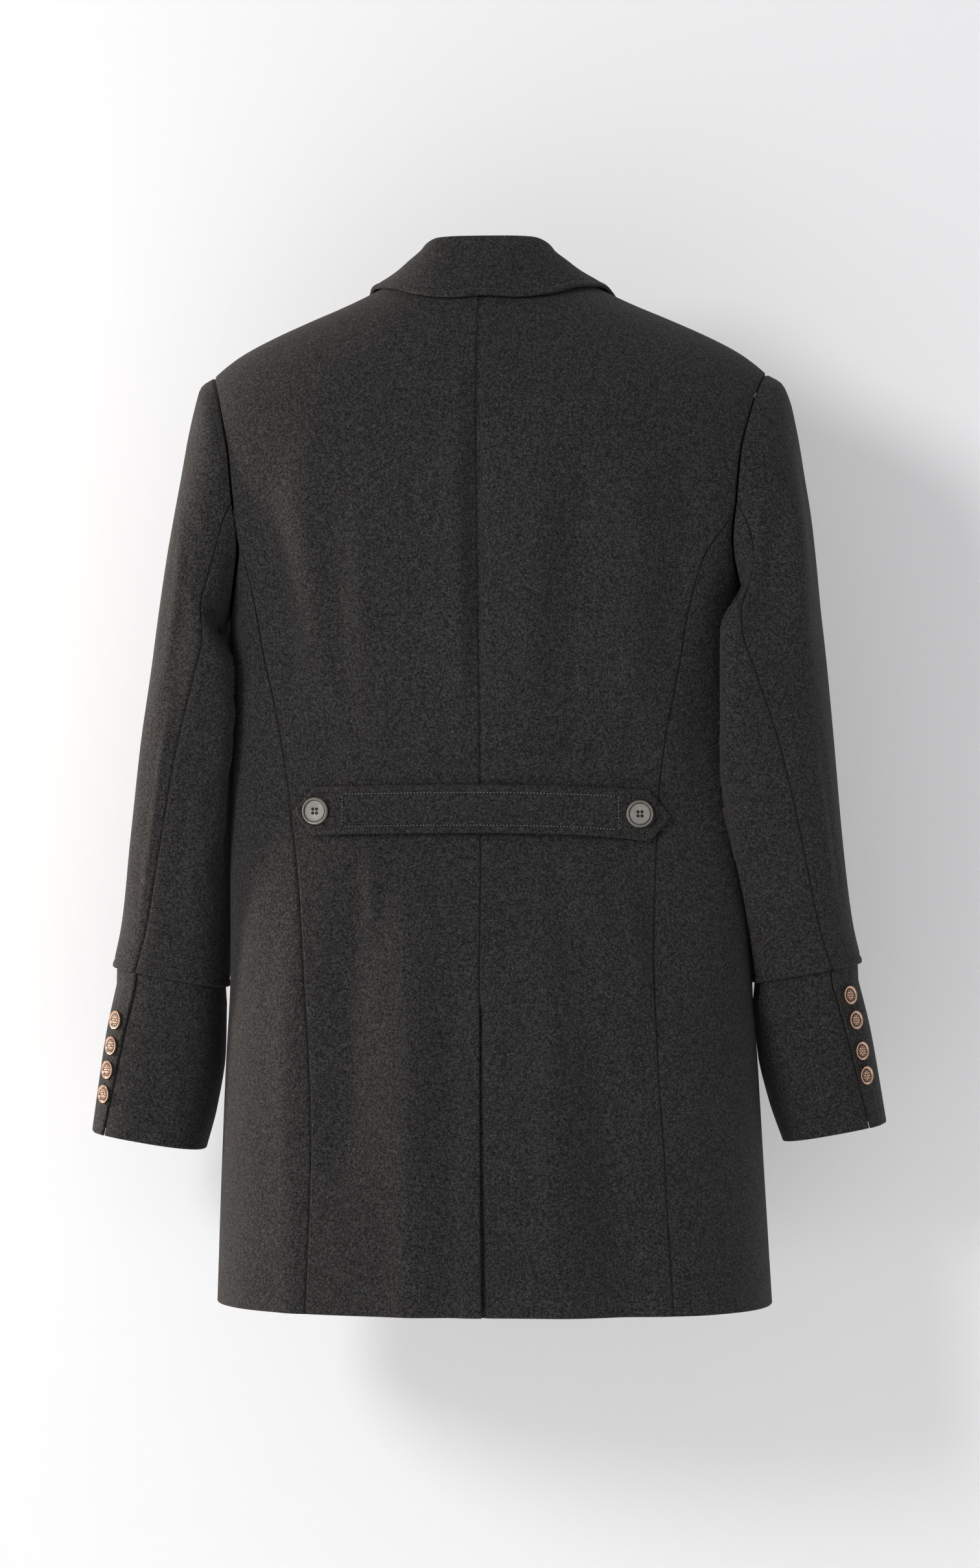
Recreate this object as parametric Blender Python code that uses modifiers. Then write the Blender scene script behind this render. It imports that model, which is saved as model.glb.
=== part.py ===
"""A double-breasted wool coat with a half belt, hollow and filled out as it is worn.

Metres, +Z up, the coat's front towards -Y and the wearer's left towards +X. The origin is the middle
of the neck, level with the side neck points, where the wearer's neck and shoulders carry the coat.
Every cloth piece is a closed wall: an outer grid of points on the garment's form and the same grid
moved in by the cloth's thickness. Neighbouring pieces take the same points along their seam.
"""

import math

import bmesh
import bpy
import numpy as np
from mathutils import Vector

# Cloth
CLOTH = 0.0028
BELT_CLOTH = 0.0032
SEAM_GAP = 0.0003
LAY_GAP = 0.0009

# Body levels and widths
HEM_Z = -0.866
BLADE_Z = -0.185
CHEST_Z = -0.235
UNDERARM_Z = -0.281
SHOULDER_TIP_X = 0.2365
SHOULDER_TIP_Z = -0.073
NECK_SIDE_X = 0.080
BACK_ROUND = 2.2
FRONT_ROUND = 2.0

# Fronts
LAP_X = 0.085
LAP_LIFT_RUN = 0.050
LAP_GAP = 0.0020
FRONT_BUTTON_X = 0.060
FRONT_BUTTON_TOP_Z = -0.262
FRONT_BUTTON_PITCH = 0.092
FRONT_BUTTON_ROWS = 4

# Vent
VENT_TOP_Z = -0.605
VENT_UNDERLAP = 0.040
VENT_STEP = 0.006

# Half belt
BELT_Z = -0.443
BELT_HALF_HEIGHT = 0.0205
BELT_LEFT_X = 0.160
BELT_RIGHT_X = 0.157
BELT_POINT = 0.018
BELT_GAP = 0.0014
BELT_DROOP_LEFT = 0.0025
BELT_DROOP_RIGHT = 0.0060
BELT_FLARE = 0.0016
BELT_BUTTON_INSET_LEFT = 0.0195
BELT_BUTTON_INSET_RIGHT = 0.0250
BELT_RISE = 0.0035

# Buttons, with each outline as (share of the radius, height)
BUTTON_GAP = 0.0008
BUTTON_SIDES = 14
HORN_PROFILE = ((0, 0.0), (0.80, 0.0), (1.0, 0.0012), (0.98, 0.0034), (0.84, 0.0040), (0.70, 0.0026), (0, 0.0026))
GILT_PROFILE = ((0, 0.0), (0.88, 0.0), (1.0, 0.0016), (0.92, 0.0034), (0.78, 0.0030), (0, 0.0042))
CUFF_BUTTON_DEG = 41.0
CUFF_BUTTON_Z = {"left": (-0.625, -0.647, -0.668, -0.689), "right": (-0.6015, -0.6227, -0.649, -0.670)}
BELT_BUTTON_R = 0.0114
CUFF_BUTTON_R = 0.0078
FRONT_BUTTON_R = 0.0115

# Collar and lapels
COLLAR_CLOTH = 0.0032
ROLL_R = 0.0014
COLLAR_BULGE = 0.0006
COLLAR_EDGE_GAP = 0.0018
STAND_FADE = (0.62, 0.30, 0.0)

# Grid sizes
LOWER_ROWS = 21
BACK_ARC_ROWS = 8
FRONT_ARC_ROWS = 9
UNDER_BACK_COLS = 4
UNDER_FRONT_COLS = 3
NECK_COLS = 4
SHOULDER_COLS = 8
FRONT_COLS = 10
GORGE_ROWS = 3

# Angles round the armhole: 0 at the shoulder tip, then back, underarm and front
BACK_SEAM_DEG = 90.0
UNDERARM_DEG = 180.0
FRONT_SEAM_DEG = 236.0
FULL_TURN_DEG = 360.0


class Table:
    """Rows of named columns, read between the rows by a smooth curve that doesn't overshoot."""

    def __init__(self, columns, rows):
        rows = sorted(rows)
        self.at = np.array([row[0] for row in rows], float)
        self.values = {name: np.array([row[i] for row in rows], float) for i, name in enumerate(columns)}

    def read(self, name, at):
        x, y = self.at, self.values[name]
        at = np.clip(np.asarray(at, float), x[0], x[-1])
        step = np.diff(x)
        rise = np.diff(y) / step
        slope = np.concatenate([[rise[0]], np.zeros(len(rise) - 1), [rise[-1]]])
        same_way = rise[:-1] * rise[1:] > 0
        both = np.where(same_way, rise[:-1] + rise[1:], 1.0)
        slope[1:-1] = np.where(same_way, 2 * rise[:-1] * rise[1:] / both, 0.0)
        i = np.clip(np.searchsorted(x, at, side="right") - 1, 0, len(step) - 1)
        h = step[i]
        s = (at - x[i]) / h
        return (
            (1 + 2 * s) * (1 - s) ** 2 * y[i]
            + s * (1 - s) ** 2 * h * slope[i]
            + s * s * (3 - 2 * s) * y[i + 1]
            - s * s * (1 - s) * h * slope[i + 1]
        )


# The body's level sections: a squared ellipse with a back half and a front half
BODY = Table(
    ("z", "half_width", "back", "front", "power", "sway", "princess_x", "front_seam_y"),
    [
        (-0.866, 0.2405, 0.128, 0.133, 2.25, -0.0030, 0.1548, -0.050),
        (-0.760, 0.2355, 0.124, 0.131, 2.25, -0.0015, 0.1497, -0.050),
        (-0.660, 0.2305, 0.119, 0.128, 2.30, -0.0005, 0.1471, -0.049),
        (-0.580, 0.2255, 0.111, 0.125, 2.35, 0.0, 0.1480, -0.048),
        (-0.510, 0.2235, 0.098, 0.119, 2.40, 0.0, 0.1509, -0.048),
        (-0.443, 0.2225, 0.090, 0.114, 2.40, 0.0, 0.1560, -0.049),
        (-0.380, 0.2220, 0.094, 0.117, 2.45, 0.0, 0.1655, -0.052),
        (-0.320, 0.2225, 0.104, 0.124, 2.50, 0.0, 0.1780, -0.058),
        (-0.281, 0.2225, 0.110, 0.128, 2.55, 0.0, 0.1850, -0.066),
        (-0.235, 0.2340, 0.113, 0.130, 2.60, 0.0, 0.1960, -0.081),
        (-0.185, 0.2490, 0.115, 0.128, 2.60, 0.0, 0.2130, -0.081),
        (-0.100, 0.2580, 0.115, 0.120, 2.60, 0.0, 0.2130, -0.081),
        (0.060, 0.2600, 0.115, 0.120, 2.60, 0.0, 0.2130, -0.081),
    ],
)

# How far the seams of the back sit towards the wearer's left, because the cloth hangs a little twisted
TWIST = Table(
    ("z", "princess", "centre"),
    [
        (-0.866, -0.0045, 0.0),
        (-0.750, -0.0045, 0.0),
        (-0.652, -0.0010, 0.0),
        (-0.578, 0.0025, 0.0),
        (-0.510, 0.0050, 0.0),
        (-0.443, 0.0085, 0.0010),
        (-0.380, 0.0108, 0.0012),
        (-0.281, 0.0105, 0.0015),
        (-0.235, 0.0095, 0.0020),
        (-0.185, 0.0, 0.0022),
        (-0.050, 0.0, 0.0035),
        (-0.008, 0.0, 0.0035),
        (0.0060, 0.0, 0.0),
    ],
)

# The top of the shoulder, seen from behind, and the neckline below it at the back
RIDGE = Table(
    ("x", "z"),
    [
        (0.0, 0.0320),
        (0.040, 0.0235),
        (0.080, 0.0080),
        (0.105, -0.0045),
        (0.125, -0.0138),
        (0.1525, -0.0254),
        (0.1875, -0.0411),
        (0.211, -0.0535),
        (0.2245, -0.0628),
        (0.2365, -0.0730),
        (0.262, -0.0980),
    ],
)
NECKLINE = Table(("x", "z"), [(0.0, 0.0085), (0.040, 0.0065), (0.065, 0.0060), (0.080, 0.0080)])

# The armhole's distance from the middle, by height, at the back and at the front
BACK_ARMHOLE = Table(
    ("z", "x"), [(-0.185, 0.2130), (-0.150, 0.2165), (-0.123, 0.2225), (-0.092, 0.2305), (-0.073, 0.2365)]
)
FRONT_ARMHOLE = Table(
    ("z", "x"), [(-0.235, 0.2045), (-0.180, 0.2010), (-0.140, 0.2080), (-0.100, 0.2240), (-0.073, 0.2365)]
)

# Soft folds round the body. Angle 0 is centre back and +90 the wearer's left side; a ridge has a
# positive height. drift is how far the fold moves round from its top to its bottom.
BODY_FOLDS = [
    # angle, top, bottom, width, height, drift
    (4.0, -0.060, -0.300, 6.0, -0.0030, -2.0),
    (-20.0, -0.150, -0.440, 8.0, 0.0035, 6.0),
    (-37.0, -0.120, -0.400, 9.0, -0.0030, 4.0),
    (50.0, -0.060, -0.430, 10.0, 0.0030, 0.0),
    (66.0, -0.150, -0.480, 9.0, -0.0045, -2.0),
    (-58.0, -0.100, -0.360, 9.0, -0.0035, 3.0),
    (47.0, -0.455, -0.800, 8.0, -0.0045, -6.0),
    (30.0, -0.480, -0.870, 9.0, 0.0035, -4.0),
    (13.0, -0.500, -0.800, 8.0, -0.0030, 2.0),
    (-26.0, -0.520, -0.870, 9.0, 0.0040, -2.0),
    (-47.0, -0.460, -0.640, 8.0, 0.0035, 2.0),
    (-44.0, -0.620, -0.880, 8.0, -0.0040, -3.0),
    (80.0, -0.480, -0.880, 12.0, -0.0050, 0.0),
    (-82.0, -0.480, -0.880, 12.0, -0.0045, 0.0),
    (116.0, -0.420, -0.880, 8.0, 0.0030, 2.0),
    (-116.0, -0.420, -0.880, 8.0, 0.0030, -2.0),
    (128.0, -0.360, -0.800, 8.0, -0.0035, 4.0),
    (-128.0, -0.380, -0.820, 8.0, -0.0035, -3.0),
]

# Sections of the sleeve from the armhole to its lower edge, seen from behind
SLEEVE = Table(
    ("along", "outer_x", "outer_z", "inner_x", "inner_z", "middle_y", "back", "front", "seam_deg"),
    [
        (0.00, 0.2365, -0.0730, 0.2215, -0.2810, 0.000, 0.0755, 0.0810, 90.0),
        (0.04, 0.2480, -0.0840, 0.2255, -0.2835, -0.001, 0.0800, 0.0810, 96.0),
        (0.11, 0.2575, -0.1195, 0.2268, -0.2890, -0.002, 0.0830, 0.0800, 104.0),
        (0.19, 0.2650, -0.1640, 0.2270, -0.2950, -0.003, 0.0840, 0.0800, 111.0),
        (0.28, 0.2730, -0.2120, 0.2270, -0.3030, -0.003, 0.0835, 0.0800, 115.0),
        (0.36, 0.2800, -0.2560, 0.2265, -0.3150, -0.004, 0.0820, 0.0790, 114.0),
        (0.45, 0.2865, -0.3050, 0.2262, -0.3400, -0.005, 0.0790, 0.0770, 106.0),
        (0.62, 0.2955, -0.3880, 0.2260, -0.4020, -0.008, 0.0710, 0.0720, 89.0),
        (0.80, 0.3045, -0.4760, 0.2255, -0.4830, -0.015, 0.0635, 0.0660, 75.0),
        (0.92, 0.3128, -0.5390, 0.2250, -0.5520, -0.022, 0.0585, 0.0615, 66.0),
        (1.00, 0.3210, -0.5750, 0.2260, -0.5930, -0.027, 0.0565, 0.0595, 60.0),
    ],
)

# Sections of the cuff below the sleeve's edge
CUFF = Table(
    ("along", "outer_x", "outer_z", "inner_x", "inner_z", "middle_y", "back", "front", "seam_deg"),
    [
        (0.0, 0.3180, -0.5900, 0.2290, -0.6080, -0.029, 0.0535, 0.0562, 57.0),
        (0.35, 0.3278, -0.6300, 0.2305, -0.6480, -0.034, 0.0540, 0.0565, 53.0),
        (0.7, 0.3360, -0.6760, 0.2385, -0.6930, -0.040, 0.0545, 0.0565, 49.0),
        (1.0, 0.3420, -0.7125, 0.2490, -0.7290, -0.045, 0.0545, 0.0560, 46.0),
    ],
)
CUFF_ROWS = 4
CUFF_OVERLAP = 0.018

# A sleeve's section is a squared ellipse: the power of its back half and of its front half
SLEEVE_BACK_POWER = 2.5
SLEEVE_FRONT_POWER = 2.2

# How far each sleeve's lower end hangs from those sections: its outer side out, its inner side out, all
# of it down, how much lower still its hem is, and how far the cuff's inner side flares. 1 is the wearer's left.
SLEEVE_HANG = {1: (0.0075, 0.0025, -0.0045, -0.0055, 0.0), -1: (-0.0035, -0.0055, 0.0, 0.0, 0.0062)}
HEAD_OUT = {1: 0.0, -1: 0.0045}

# The sleeves press against the body: the angle, start, end, width and size of that bulge
PRESS = {-1: (140.0, 0.06, 1.08, 44.0, 0.046), 1: (150.0, 0.20, 1.0, 38.0, 0.022)}
PRESS_CLEAR = 0.0085
HEM_CLEAR = 0.0026

# Folds of each sleeve: angle round the sleeve, place along it, and size. 1 is the wearer's left.
SLEEVE_FOLDS = {
    1: [
        # angle, start, end, width, height, drift
        (62.0, 0.10, 0.62, 16.0, -0.0030, 6.0),
        (30.0, 0.45, 0.95, 18.0, 0.0025, 8.0),
        (125.0, 0.40, 0.75, 16.0, -0.0030, 0.0),
        (172.0, 0.44, 0.64, 24.0, 0.0055, 0.0),
        (300.0, 0.35, 0.80, 20.0, -0.0030, 0.0),
    ],
    -1: [
        (58.0, 0.08, 0.42, 15.0, -0.0055, 24.0),
        (34.0, 0.12, 0.55, 15.0, 0.0030, 20.0),
        (128.0, 0.45, 0.85, 16.0, -0.0030, 0.0),
        (300.0, 0.35, 0.80, 20.0, -0.0030, 0.0),
    ],
}

# The collar's crest and its outer edge, from centre back (0) to the gorge (1). The edge lies on the body.
COLLAR = Table(
    ("t", "crest_x", "crest_y", "crest_z", "edge_x", "edge_y"),
    [
        (0.0, 0.0000, 0.0515, 0.0375, 0.000, 0.0755),
        (1 / 7, 0.0200, 0.0505, 0.0375, 0.0265, 0.0735),
        (2 / 7, 0.0395, 0.0450, 0.0370, 0.0530, 0.0660),
        (3 / 7, 0.0520, 0.0310, 0.0325, 0.0780, 0.0460),
        (4 / 7, 0.0590, 0.0060, 0.0225, 0.0970, 0.0150),
        (5 / 7, 0.0, 0.0, 0.0, 0.1035, -0.0160),
        (6 / 7, 0.0, 0.0, 0.0, 0.1100, -0.0395),
        (1.0, 0.0, 0.0, 0.0, 0.1160, -0.0590),
    ],
)
FALL_ROWS = 4

# Lapel, seen from the front on the wearer's left side
LAPEL_TIP = (0.145, -0.078)
LAPEL_START_WIDTH = 0.006
LAPEL_BELLY = 0.007
LAPEL_ROLL_R = 0.0014
LAPEL_COLS = 5
LAPEL_REST = 0.0020


def smoothstep(low, high, at):
    s = np.clip((np.asarray(at, float) - low) / (high - low), 0, 1)
    return s * s * (3 - 2 * s)


def unit(vectors):
    return vectors / np.maximum(np.linalg.norm(vectors, axis=-1, keepdims=True), 1e-12)


def stack(x, y, z):
    x, y, z = np.broadcast_arrays(x, y, z)
    return np.stack([x, y, z], axis=-1).astype(float)


def round_start(y):
    """The level where the shoulder starts to round off, and the power of that rounding."""
    return np.where(y >= 0, BLADE_Z, CHEST_Z), np.where(y >= 0, BACK_ROUND, FRONT_ROUND)


def depth_at(x, z, back):
    """How far the form reaches from the shoulder's plane at this x and z."""
    a, m = BODY.read("half_width", z), BODY.read("power", z)
    d = BODY.read("back" if back else "front", z)
    start, p = round_start(1.0 if back else -1.0)
    side = np.clip(1 - np.abs(x / a) ** m, 0, 1) ** (1 / m)
    q = np.clip((z - start) / (RIDGE.read("z", np.abs(x)) - start), 0, 1)
    return d * side * (1 - q**p) ** (1 / p)


def width_at(y, z):
    """The form's half width at this y and z, below the blades and the chest."""
    a, m = BODY.read("half_width", z), BODY.read("power", z)
    d = np.where(y >= 0, BODY.read("back", z), BODY.read("front", z))
    return a * np.clip(1 - np.abs(y / d) ** m, 0, 1) ** (1 / m)


def top_z(x, y):
    """The height of the shoulders' upper surface over this x and y."""
    start, p = round_start(y)
    a, m = BODY.read("half_width", 0.0), BODY.read("power", 0.0)
    d = np.where(y >= 0, BODY.read("back", 0.0), BODY.read("front", 0.0))
    side = np.clip(1 - np.abs(x / a) ** m, 0, 1) ** (1 / m)
    share = np.clip(np.abs(y) / (d * side), 0, 1)
    return start + (RIDGE.read("z", np.abs(x)) - start) * (1 - share**p) ** (1 / p)


def level(points, upper):
    """Grows outwards through 1 on the form. upper says which points lie on the rounded shoulder."""
    x, y, z = points[..., 0], points[..., 1], points[..., 2]
    a, m = BODY.read("half_width", z), BODY.read("power", z)
    d = np.where(y >= 0, BODY.read("back", z), BODY.read("front", z))
    start, p = round_start(y)
    side = np.clip(1 - np.abs(x / a) ** m, 1e-6, 1) ** (1 / m)
    q = np.clip((z - start) / (RIDGE.read("z", np.abs(x)) - start), 0, None)
    return np.where(upper, (np.abs(y) / (d * side)) ** p + q**p, np.abs(x / a) ** m + np.abs(y / d) ** m)


def form_normal(points):
    """The form's outward direction and how fast level grows along it."""
    upper = points[..., 2] > round_start(points[..., 1])[0] + 1e-6
    h = 1e-4
    slope = np.zeros_like(points)
    for k in range(3):
        move = np.zeros(3)
        move[k] = h
        slope[..., k] = (level(points + move, upper) - level(points - move, upper)) / (2 * h)
    return unit(slope), np.linalg.norm(slope, axis=-1)


def body_fold(points):
    """The height of the soft folds at these points, with x signed."""
    angle = np.degrees(np.arctan2(points[..., 0], points[..., 1]))
    z = points[..., 2]
    height = np.zeros_like(z)
    for centre, top, bottom, width, rise, drift in BODY_FOLDS:
        down = np.clip((top - z) / (top - bottom), 0, 1)
        away = (angle - centre - drift * down + 180) % 360 - 180
        reach = (top - bottom) * 0.35
        fade = smoothstep(top + 0.002, top - reach, z)
        if bottom > HEM_Z:
            fade = fade * smoothstep(bottom, bottom + reach, z)
        height = height + rise * np.exp(-((away / width) ** 2)) * fade
    return height


def drape(points, side, lift=0.0):
    """(outer, inner, normal) for points on the plain form of the wearer's left half, on the given side."""
    normal, _ = form_normal(points)
    flip = np.array([side, 1.0, 1.0])
    points, normal = points * flip, normal * flip
    outer = points + normal * np.asarray(body_fold(points) + lift)[..., None]
    outer[..., 0] += BODY.read("sway", points[..., 2])
    return outer, outer - normal * CLOTH, normal


def inset(outer, inner, sides):
    """Draws the named sides of a grid in by half a seam's gap."""
    picks = {
        "first_row": (np.s_[0], np.s_[1]),
        "last_row": (np.s_[-1], np.s_[-2]),
        "first_col": (np.s_[:, 0], np.s_[:, 1]),
        "last_col": (np.s_[:, -1], np.s_[:, -2]),
    }
    for side in sides:
        edge, beside = picks[side]
        move = unit(outer[beside] - outer[edge]) * SEAM_GAP / 2
        outer[edge] += move
        inner[edge] += move
    return outer, inner


def material(name, colour, roughness, metallic=0.0):
    made = bpy.data.materials.get(name) or bpy.data.materials.new(name)
    made.use_nodes = True
    shader = made.node_tree.nodes["Principled BSDF"]
    shader.inputs["Base Color"].default_value = (*colour, 1.0)
    shader.inputs["Roughness"].default_value = roughness
    shader.inputs["Metallic"].default_value = metallic
    return made


def add_object(name, mesh, paint):
    mesh.materials.append(paint)
    made = bpy.data.objects.new(name, mesh)
    COAT.objects.link(made)
    return made


def wall(name, outer, inner, paint, present=None):
    """A closed wall between two grids of points. present marks the cells that exist."""
    rows, cols = outer.shape[:2]
    present = np.ones((rows - 1, cols - 1), bool) if present is None else present
    bm = bmesh.new()
    layers = [{}, {}]

    def corner(layer, i, j):
        found = layers[layer].get((i, j))
        if found is None:
            found = layers[layer][(i, j)] = bm.verts.new((outer, inner)[layer][i, j])
        return found

    edges = {}
    for i, j in np.argwhere(present):
        ring = [(i, j), (i, j + 1), (i + 1, j + 1), (i + 1, j)]
        bm.faces.new([corner(0, *c) for c in ring])
        bm.faces.new([corner(1, *c) for c in reversed(ring)])
        for a, b in zip(ring, ring[1:] + ring[:1]):
            edges.setdefault(frozenset((a, b)), []).append((a, b))
    # The edge faces of two neighbours are split the same way, so that their seam stays open
    for uses in edges.values():
        if len(uses) == 1:
            a, b = sorted(uses[0])
            bm.faces.new([corner(0, *b), corner(0, *a), corner(1, *b)])
            bm.faces.new([corner(0, *a), corner(1, *a), corner(1, *b)])
    bmesh.ops.recalc_face_normals(bm, faces=bm.faces)
    mesh = bpy.data.meshes.new(name)
    bm.to_mesh(mesh)
    bm.free()
    mesh.shade_smooth()
    mesh.set_sharp_from_angle(angle=math.radians(40))
    return add_object(name, mesh, paint)


def along_row(curve, shares, samples=80):
    """Points at these shares of the length of a curve given by many points."""
    steps = np.linalg.norm(np.diff(curve, axis=0), axis=1)
    far = np.concatenate([[0], np.cumsum(steps)]) / steps.sum()
    return np.stack([np.interp(shares, far, curve[:, k]) for k in range(3)], axis=-1)


def lower_shares():
    return np.linspace(0, 1, LOWER_ROWS + 1)


def princess_at(z, side):
    """How far the princess seam is from the middle on this side."""
    return BODY.read("princess_x", z) + side * TWIST.read("princess", z)


def back_form(shares_across, lower, arcs, side=1):
    """The back on the plain form: rows from the hem up to the neck and shoulder seam."""
    rows = []
    for share in lower:
        z = HEM_Z + share * (BLADE_Z - HEM_Z)
        middle = side * TWIST.read("centre", z)
        x = middle + shares_across * (princess_at(z, side) - middle)
        rows.append(stack(x, depth_at(x, z, True), z))
    for arc in arcs:
        q = math.sin(arc)
        middle = side * TWIST.read("centre", BLADE_Z + q * (NECKLINE.read("z", 0.0) - BLADE_Z))
        armhole_x = BACK_ARMHOLE.read("x", BLADE_Z + q * (SHOULDER_TIP_Z - BLADE_Z))
        x = middle + shares_across * (armhole_x - middle)
        top = np.where(x < NECK_SIDE_X, NECKLINE.read("z", np.abs(x)), RIDGE.read("z", x))
        z = BLADE_Z + q * (top - BLADE_Z)
        y = depth_at(x, z, True)
        if q > 1 - 1e-9:
            y = np.where(x >= NECK_SIDE_X - 1e-9, 0.0, y)
        rows.append(stack(x, y, z))
    return np.array(rows)


def back_shares():
    neck = NECK_SIDE_X / SHOULDER_TIP_X
    return np.concatenate([np.linspace(0, neck, NECK_COLS + 1), np.linspace(neck, 1, SHOULDER_COLS + 1)[1:]])


def armhole(angle):
    """The armhole's points on the plain form, at angles in degrees round it."""
    points = []
    for deg in np.atleast_1d(angle) % FULL_TURN_DEG:
        if deg <= BACK_SEAM_DEG:
            q = math.cos(math.radians(deg))
            x = float(BACK_ARMHOLE.read("x", BLADE_Z + q * (SHOULDER_TIP_Z - BLADE_Z)))
            z = BLADE_Z + q * (float(RIDGE.read("z", x)) - BLADE_Z)
            y = 0.0 if deg == 0 else float(depth_at(x, z, True))
        elif deg <= UNDERARM_DEG:
            turn = math.radians(deg - BACK_SEAM_DEG)
            y = float(depth_at(BODY.read("princess_x", BLADE_Z), BLADE_Z, True)) * math.cos(turn)
            z = BLADE_Z + (UNDERARM_Z - BLADE_Z) * math.sin(turn)
            x = float(width_at(y, z))
        elif deg <= FRONT_SEAM_DEG:
            turn = (deg - UNDERARM_DEG) / (FRONT_SEAM_DEG - UNDERARM_DEG) * math.pi / 2
            y = float(BODY.read("front_seam_y", CHEST_Z)) * math.sin(turn)
            z = UNDERARM_Z + (CHEST_Z - UNDERARM_Z) * (1 - math.cos(turn))
            x = float(width_at(y, z))
        else:
            q = math.sin((deg - FRONT_SEAM_DEG) / (FULL_TURN_DEG - FRONT_SEAM_DEG) * math.pi / 2)
            x = float(FRONT_ARMHOLE.read("x", CHEST_Z + q * (SHOULDER_TIP_Z - CHEST_Z)))
            x = x + (float(width_at(BODY.read("front_seam_y", CHEST_Z), CHEST_Z)) - 0.2045) * (1 - q)
            z = CHEST_Z + q * (float(RIDGE.read("z", x)) - CHEST_Z)
            y = -float(depth_at(x, z, False))
        points.append((x, y, z))
    return np.array(points)


def armhole_angles():
    """The angles of the armhole's points, which the body and the sleeve share."""
    return np.concatenate(
        [
            np.linspace(0, BACK_SEAM_DEG, BACK_ARC_ROWS + 1),
            np.linspace(BACK_SEAM_DEG, UNDERARM_DEG, UNDER_BACK_COLS + 1)[1:],
            np.linspace(UNDERARM_DEG, FRONT_SEAM_DEG, UNDER_FRONT_COLS + 1)[1:],
            np.linspace(FRONT_SEAM_DEG, FULL_TURN_DEG, FRONT_ARC_ROWS + 1)[1:],
        ]
    )


def side_form(angles, lower, side=1):
    """The side panel on the plain form, from the princess seam round to the front side seam."""
    top = armhole(angles)
    share = (angles - angles[0]) / (angles[-1] - angles[0])

    def straight(z):
        back_y = depth_at(princess_at(z, side), z, True)
        front_y = BODY.read("front_seam_y", z)
        return back_y + (front_y - back_y) * share

    correction = top[:, 1] - straight(top[:, 2])
    rows = []
    for v in lower:
        z = HEM_Z + v * (top[:, 2] - HEM_Z)
        y = straight(z) + smoothstep(0.55, 1.0, v) * correction
        rows.append(stack(width_at(y, z), y, z))
    return np.array(rows)


def roll_line(qs, lap_x):
    """x where a straight roll line, seen from the front, crosses each row q of the rounded chest."""
    t = np.linspace(0, 1, 200)
    x = -lap_x + t * (NECK_SIDE_X + lap_x)
    z = CHEST_Z + t * (float(RIDGE.read("z", NECK_SIDE_X)) - CHEST_Z)
    q = (z - CHEST_Z) / (RIDGE.read("z", np.abs(x)) - CHEST_Z)
    return np.interp(qs, q, x)


def front_form(shares_across, lower, arcs):
    """A front on the plain form, from the side seam and armhole (first column) to its edge."""
    edge_x = -LAP_X
    seam_x = float(width_at(BODY.read("front_seam_y", CHEST_Z), CHEST_Z))
    straight = seam_x + (edge_x - seam_x) * np.linspace(0, 1, 80)
    top_curve = stack(straight, -depth_at(straight, CHEST_Z, False), CHEST_Z)
    steps = np.linalg.norm(np.diff(top_curve, axis=0), axis=1)
    far = np.concatenate([[0], np.cumsum(steps)]) / steps.sum()
    top_shares = np.interp(shares_across, np.linspace(0, 1, 80), far)
    rows = []
    for v in lower:
        z = HEM_Z + v * (CHEST_Z - HEM_Z)
        y0 = float(BODY.read("front_seam_y", z))
        d, a, m = (float(BODY.read(name, z)) for name in ("front", "half_width", "power"))
        start = math.asin(min(1.0, (abs(y0) / d) ** (m / 2)))
        end = math.pi - math.acos(min(1.0, (LAP_X / a) ** (m / 2)))
        turn = np.linspace(start, end, 160)
        x = np.sign(np.cos(turn)) * a * np.abs(np.cos(turn)) ** (2 / m)
        curve = stack(x, -d * np.abs(np.sin(turn)) ** (2 / m), z)
        rows.append(along_row(curve, shares_across + (top_shares - shares_across) * v))
    for arc in arcs:
        q = math.sin(arc)
        deg = FRONT_SEAM_DEG + (FULL_TURN_DEG - FRONT_SEAM_DEG) * arc / (math.pi / 2)
        side = armhole([deg if q < 1 - 1e-9 else 0.0])[0]
        x = side[0] + (float(roll_line(q, LAP_X)) - side[0]) * shares_across
        z = CHEST_Z + q * (RIDGE.read("z", np.abs(x)) - CHEST_Z)
        y = 0.0 * x if q > 1 - 1e-9 else -depth_at(x, z, False)
        rows.append(stack(x, y, z))
    return np.array(rows)


def lap_lift(points):
    """How far the overlapping front stands off the one under it."""
    x, z = points[..., 0], points[..., 2]
    q = np.clip((z - CHEST_Z) / (RIDGE.read("z", np.abs(x)) - CHEST_Z), 0, 1)
    under_edge = -roll_line(q, LAP_X)
    return (CLOTH + LAP_GAP) * smoothstep(under_edge + LAP_LIFT_RUN, under_edge + 0.010, x)


def ring(table, along, angle):
    """Points of a sleeve's section. Angle 0 is the outer side, 90 the back and 180 the inner side."""
    turn = np.radians(angle)
    outer = stack(table.read("outer_x", along), 0.0, table.read("outer_z", along))
    inner = stack(table.read("inner_x", along), 0.0, table.read("inner_z", along))
    middle, reach = (outer + inner) / 2, (outer - inner) / 2
    middle[..., 1] = table.read("middle_y", along)
    c, s = np.cos(turn), np.sin(turn)
    depth = np.where(s >= 0, table.read("back", along), -table.read("front", along))
    power = np.where(s >= 0, SLEEVE_BACK_POWER, SLEEVE_FRONT_POWER)
    points = middle + reach * c[..., None]
    points[..., 1] += depth * np.clip(1 - np.abs(c) ** power, 0, 1) ** (1 / power)
    return points


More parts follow.
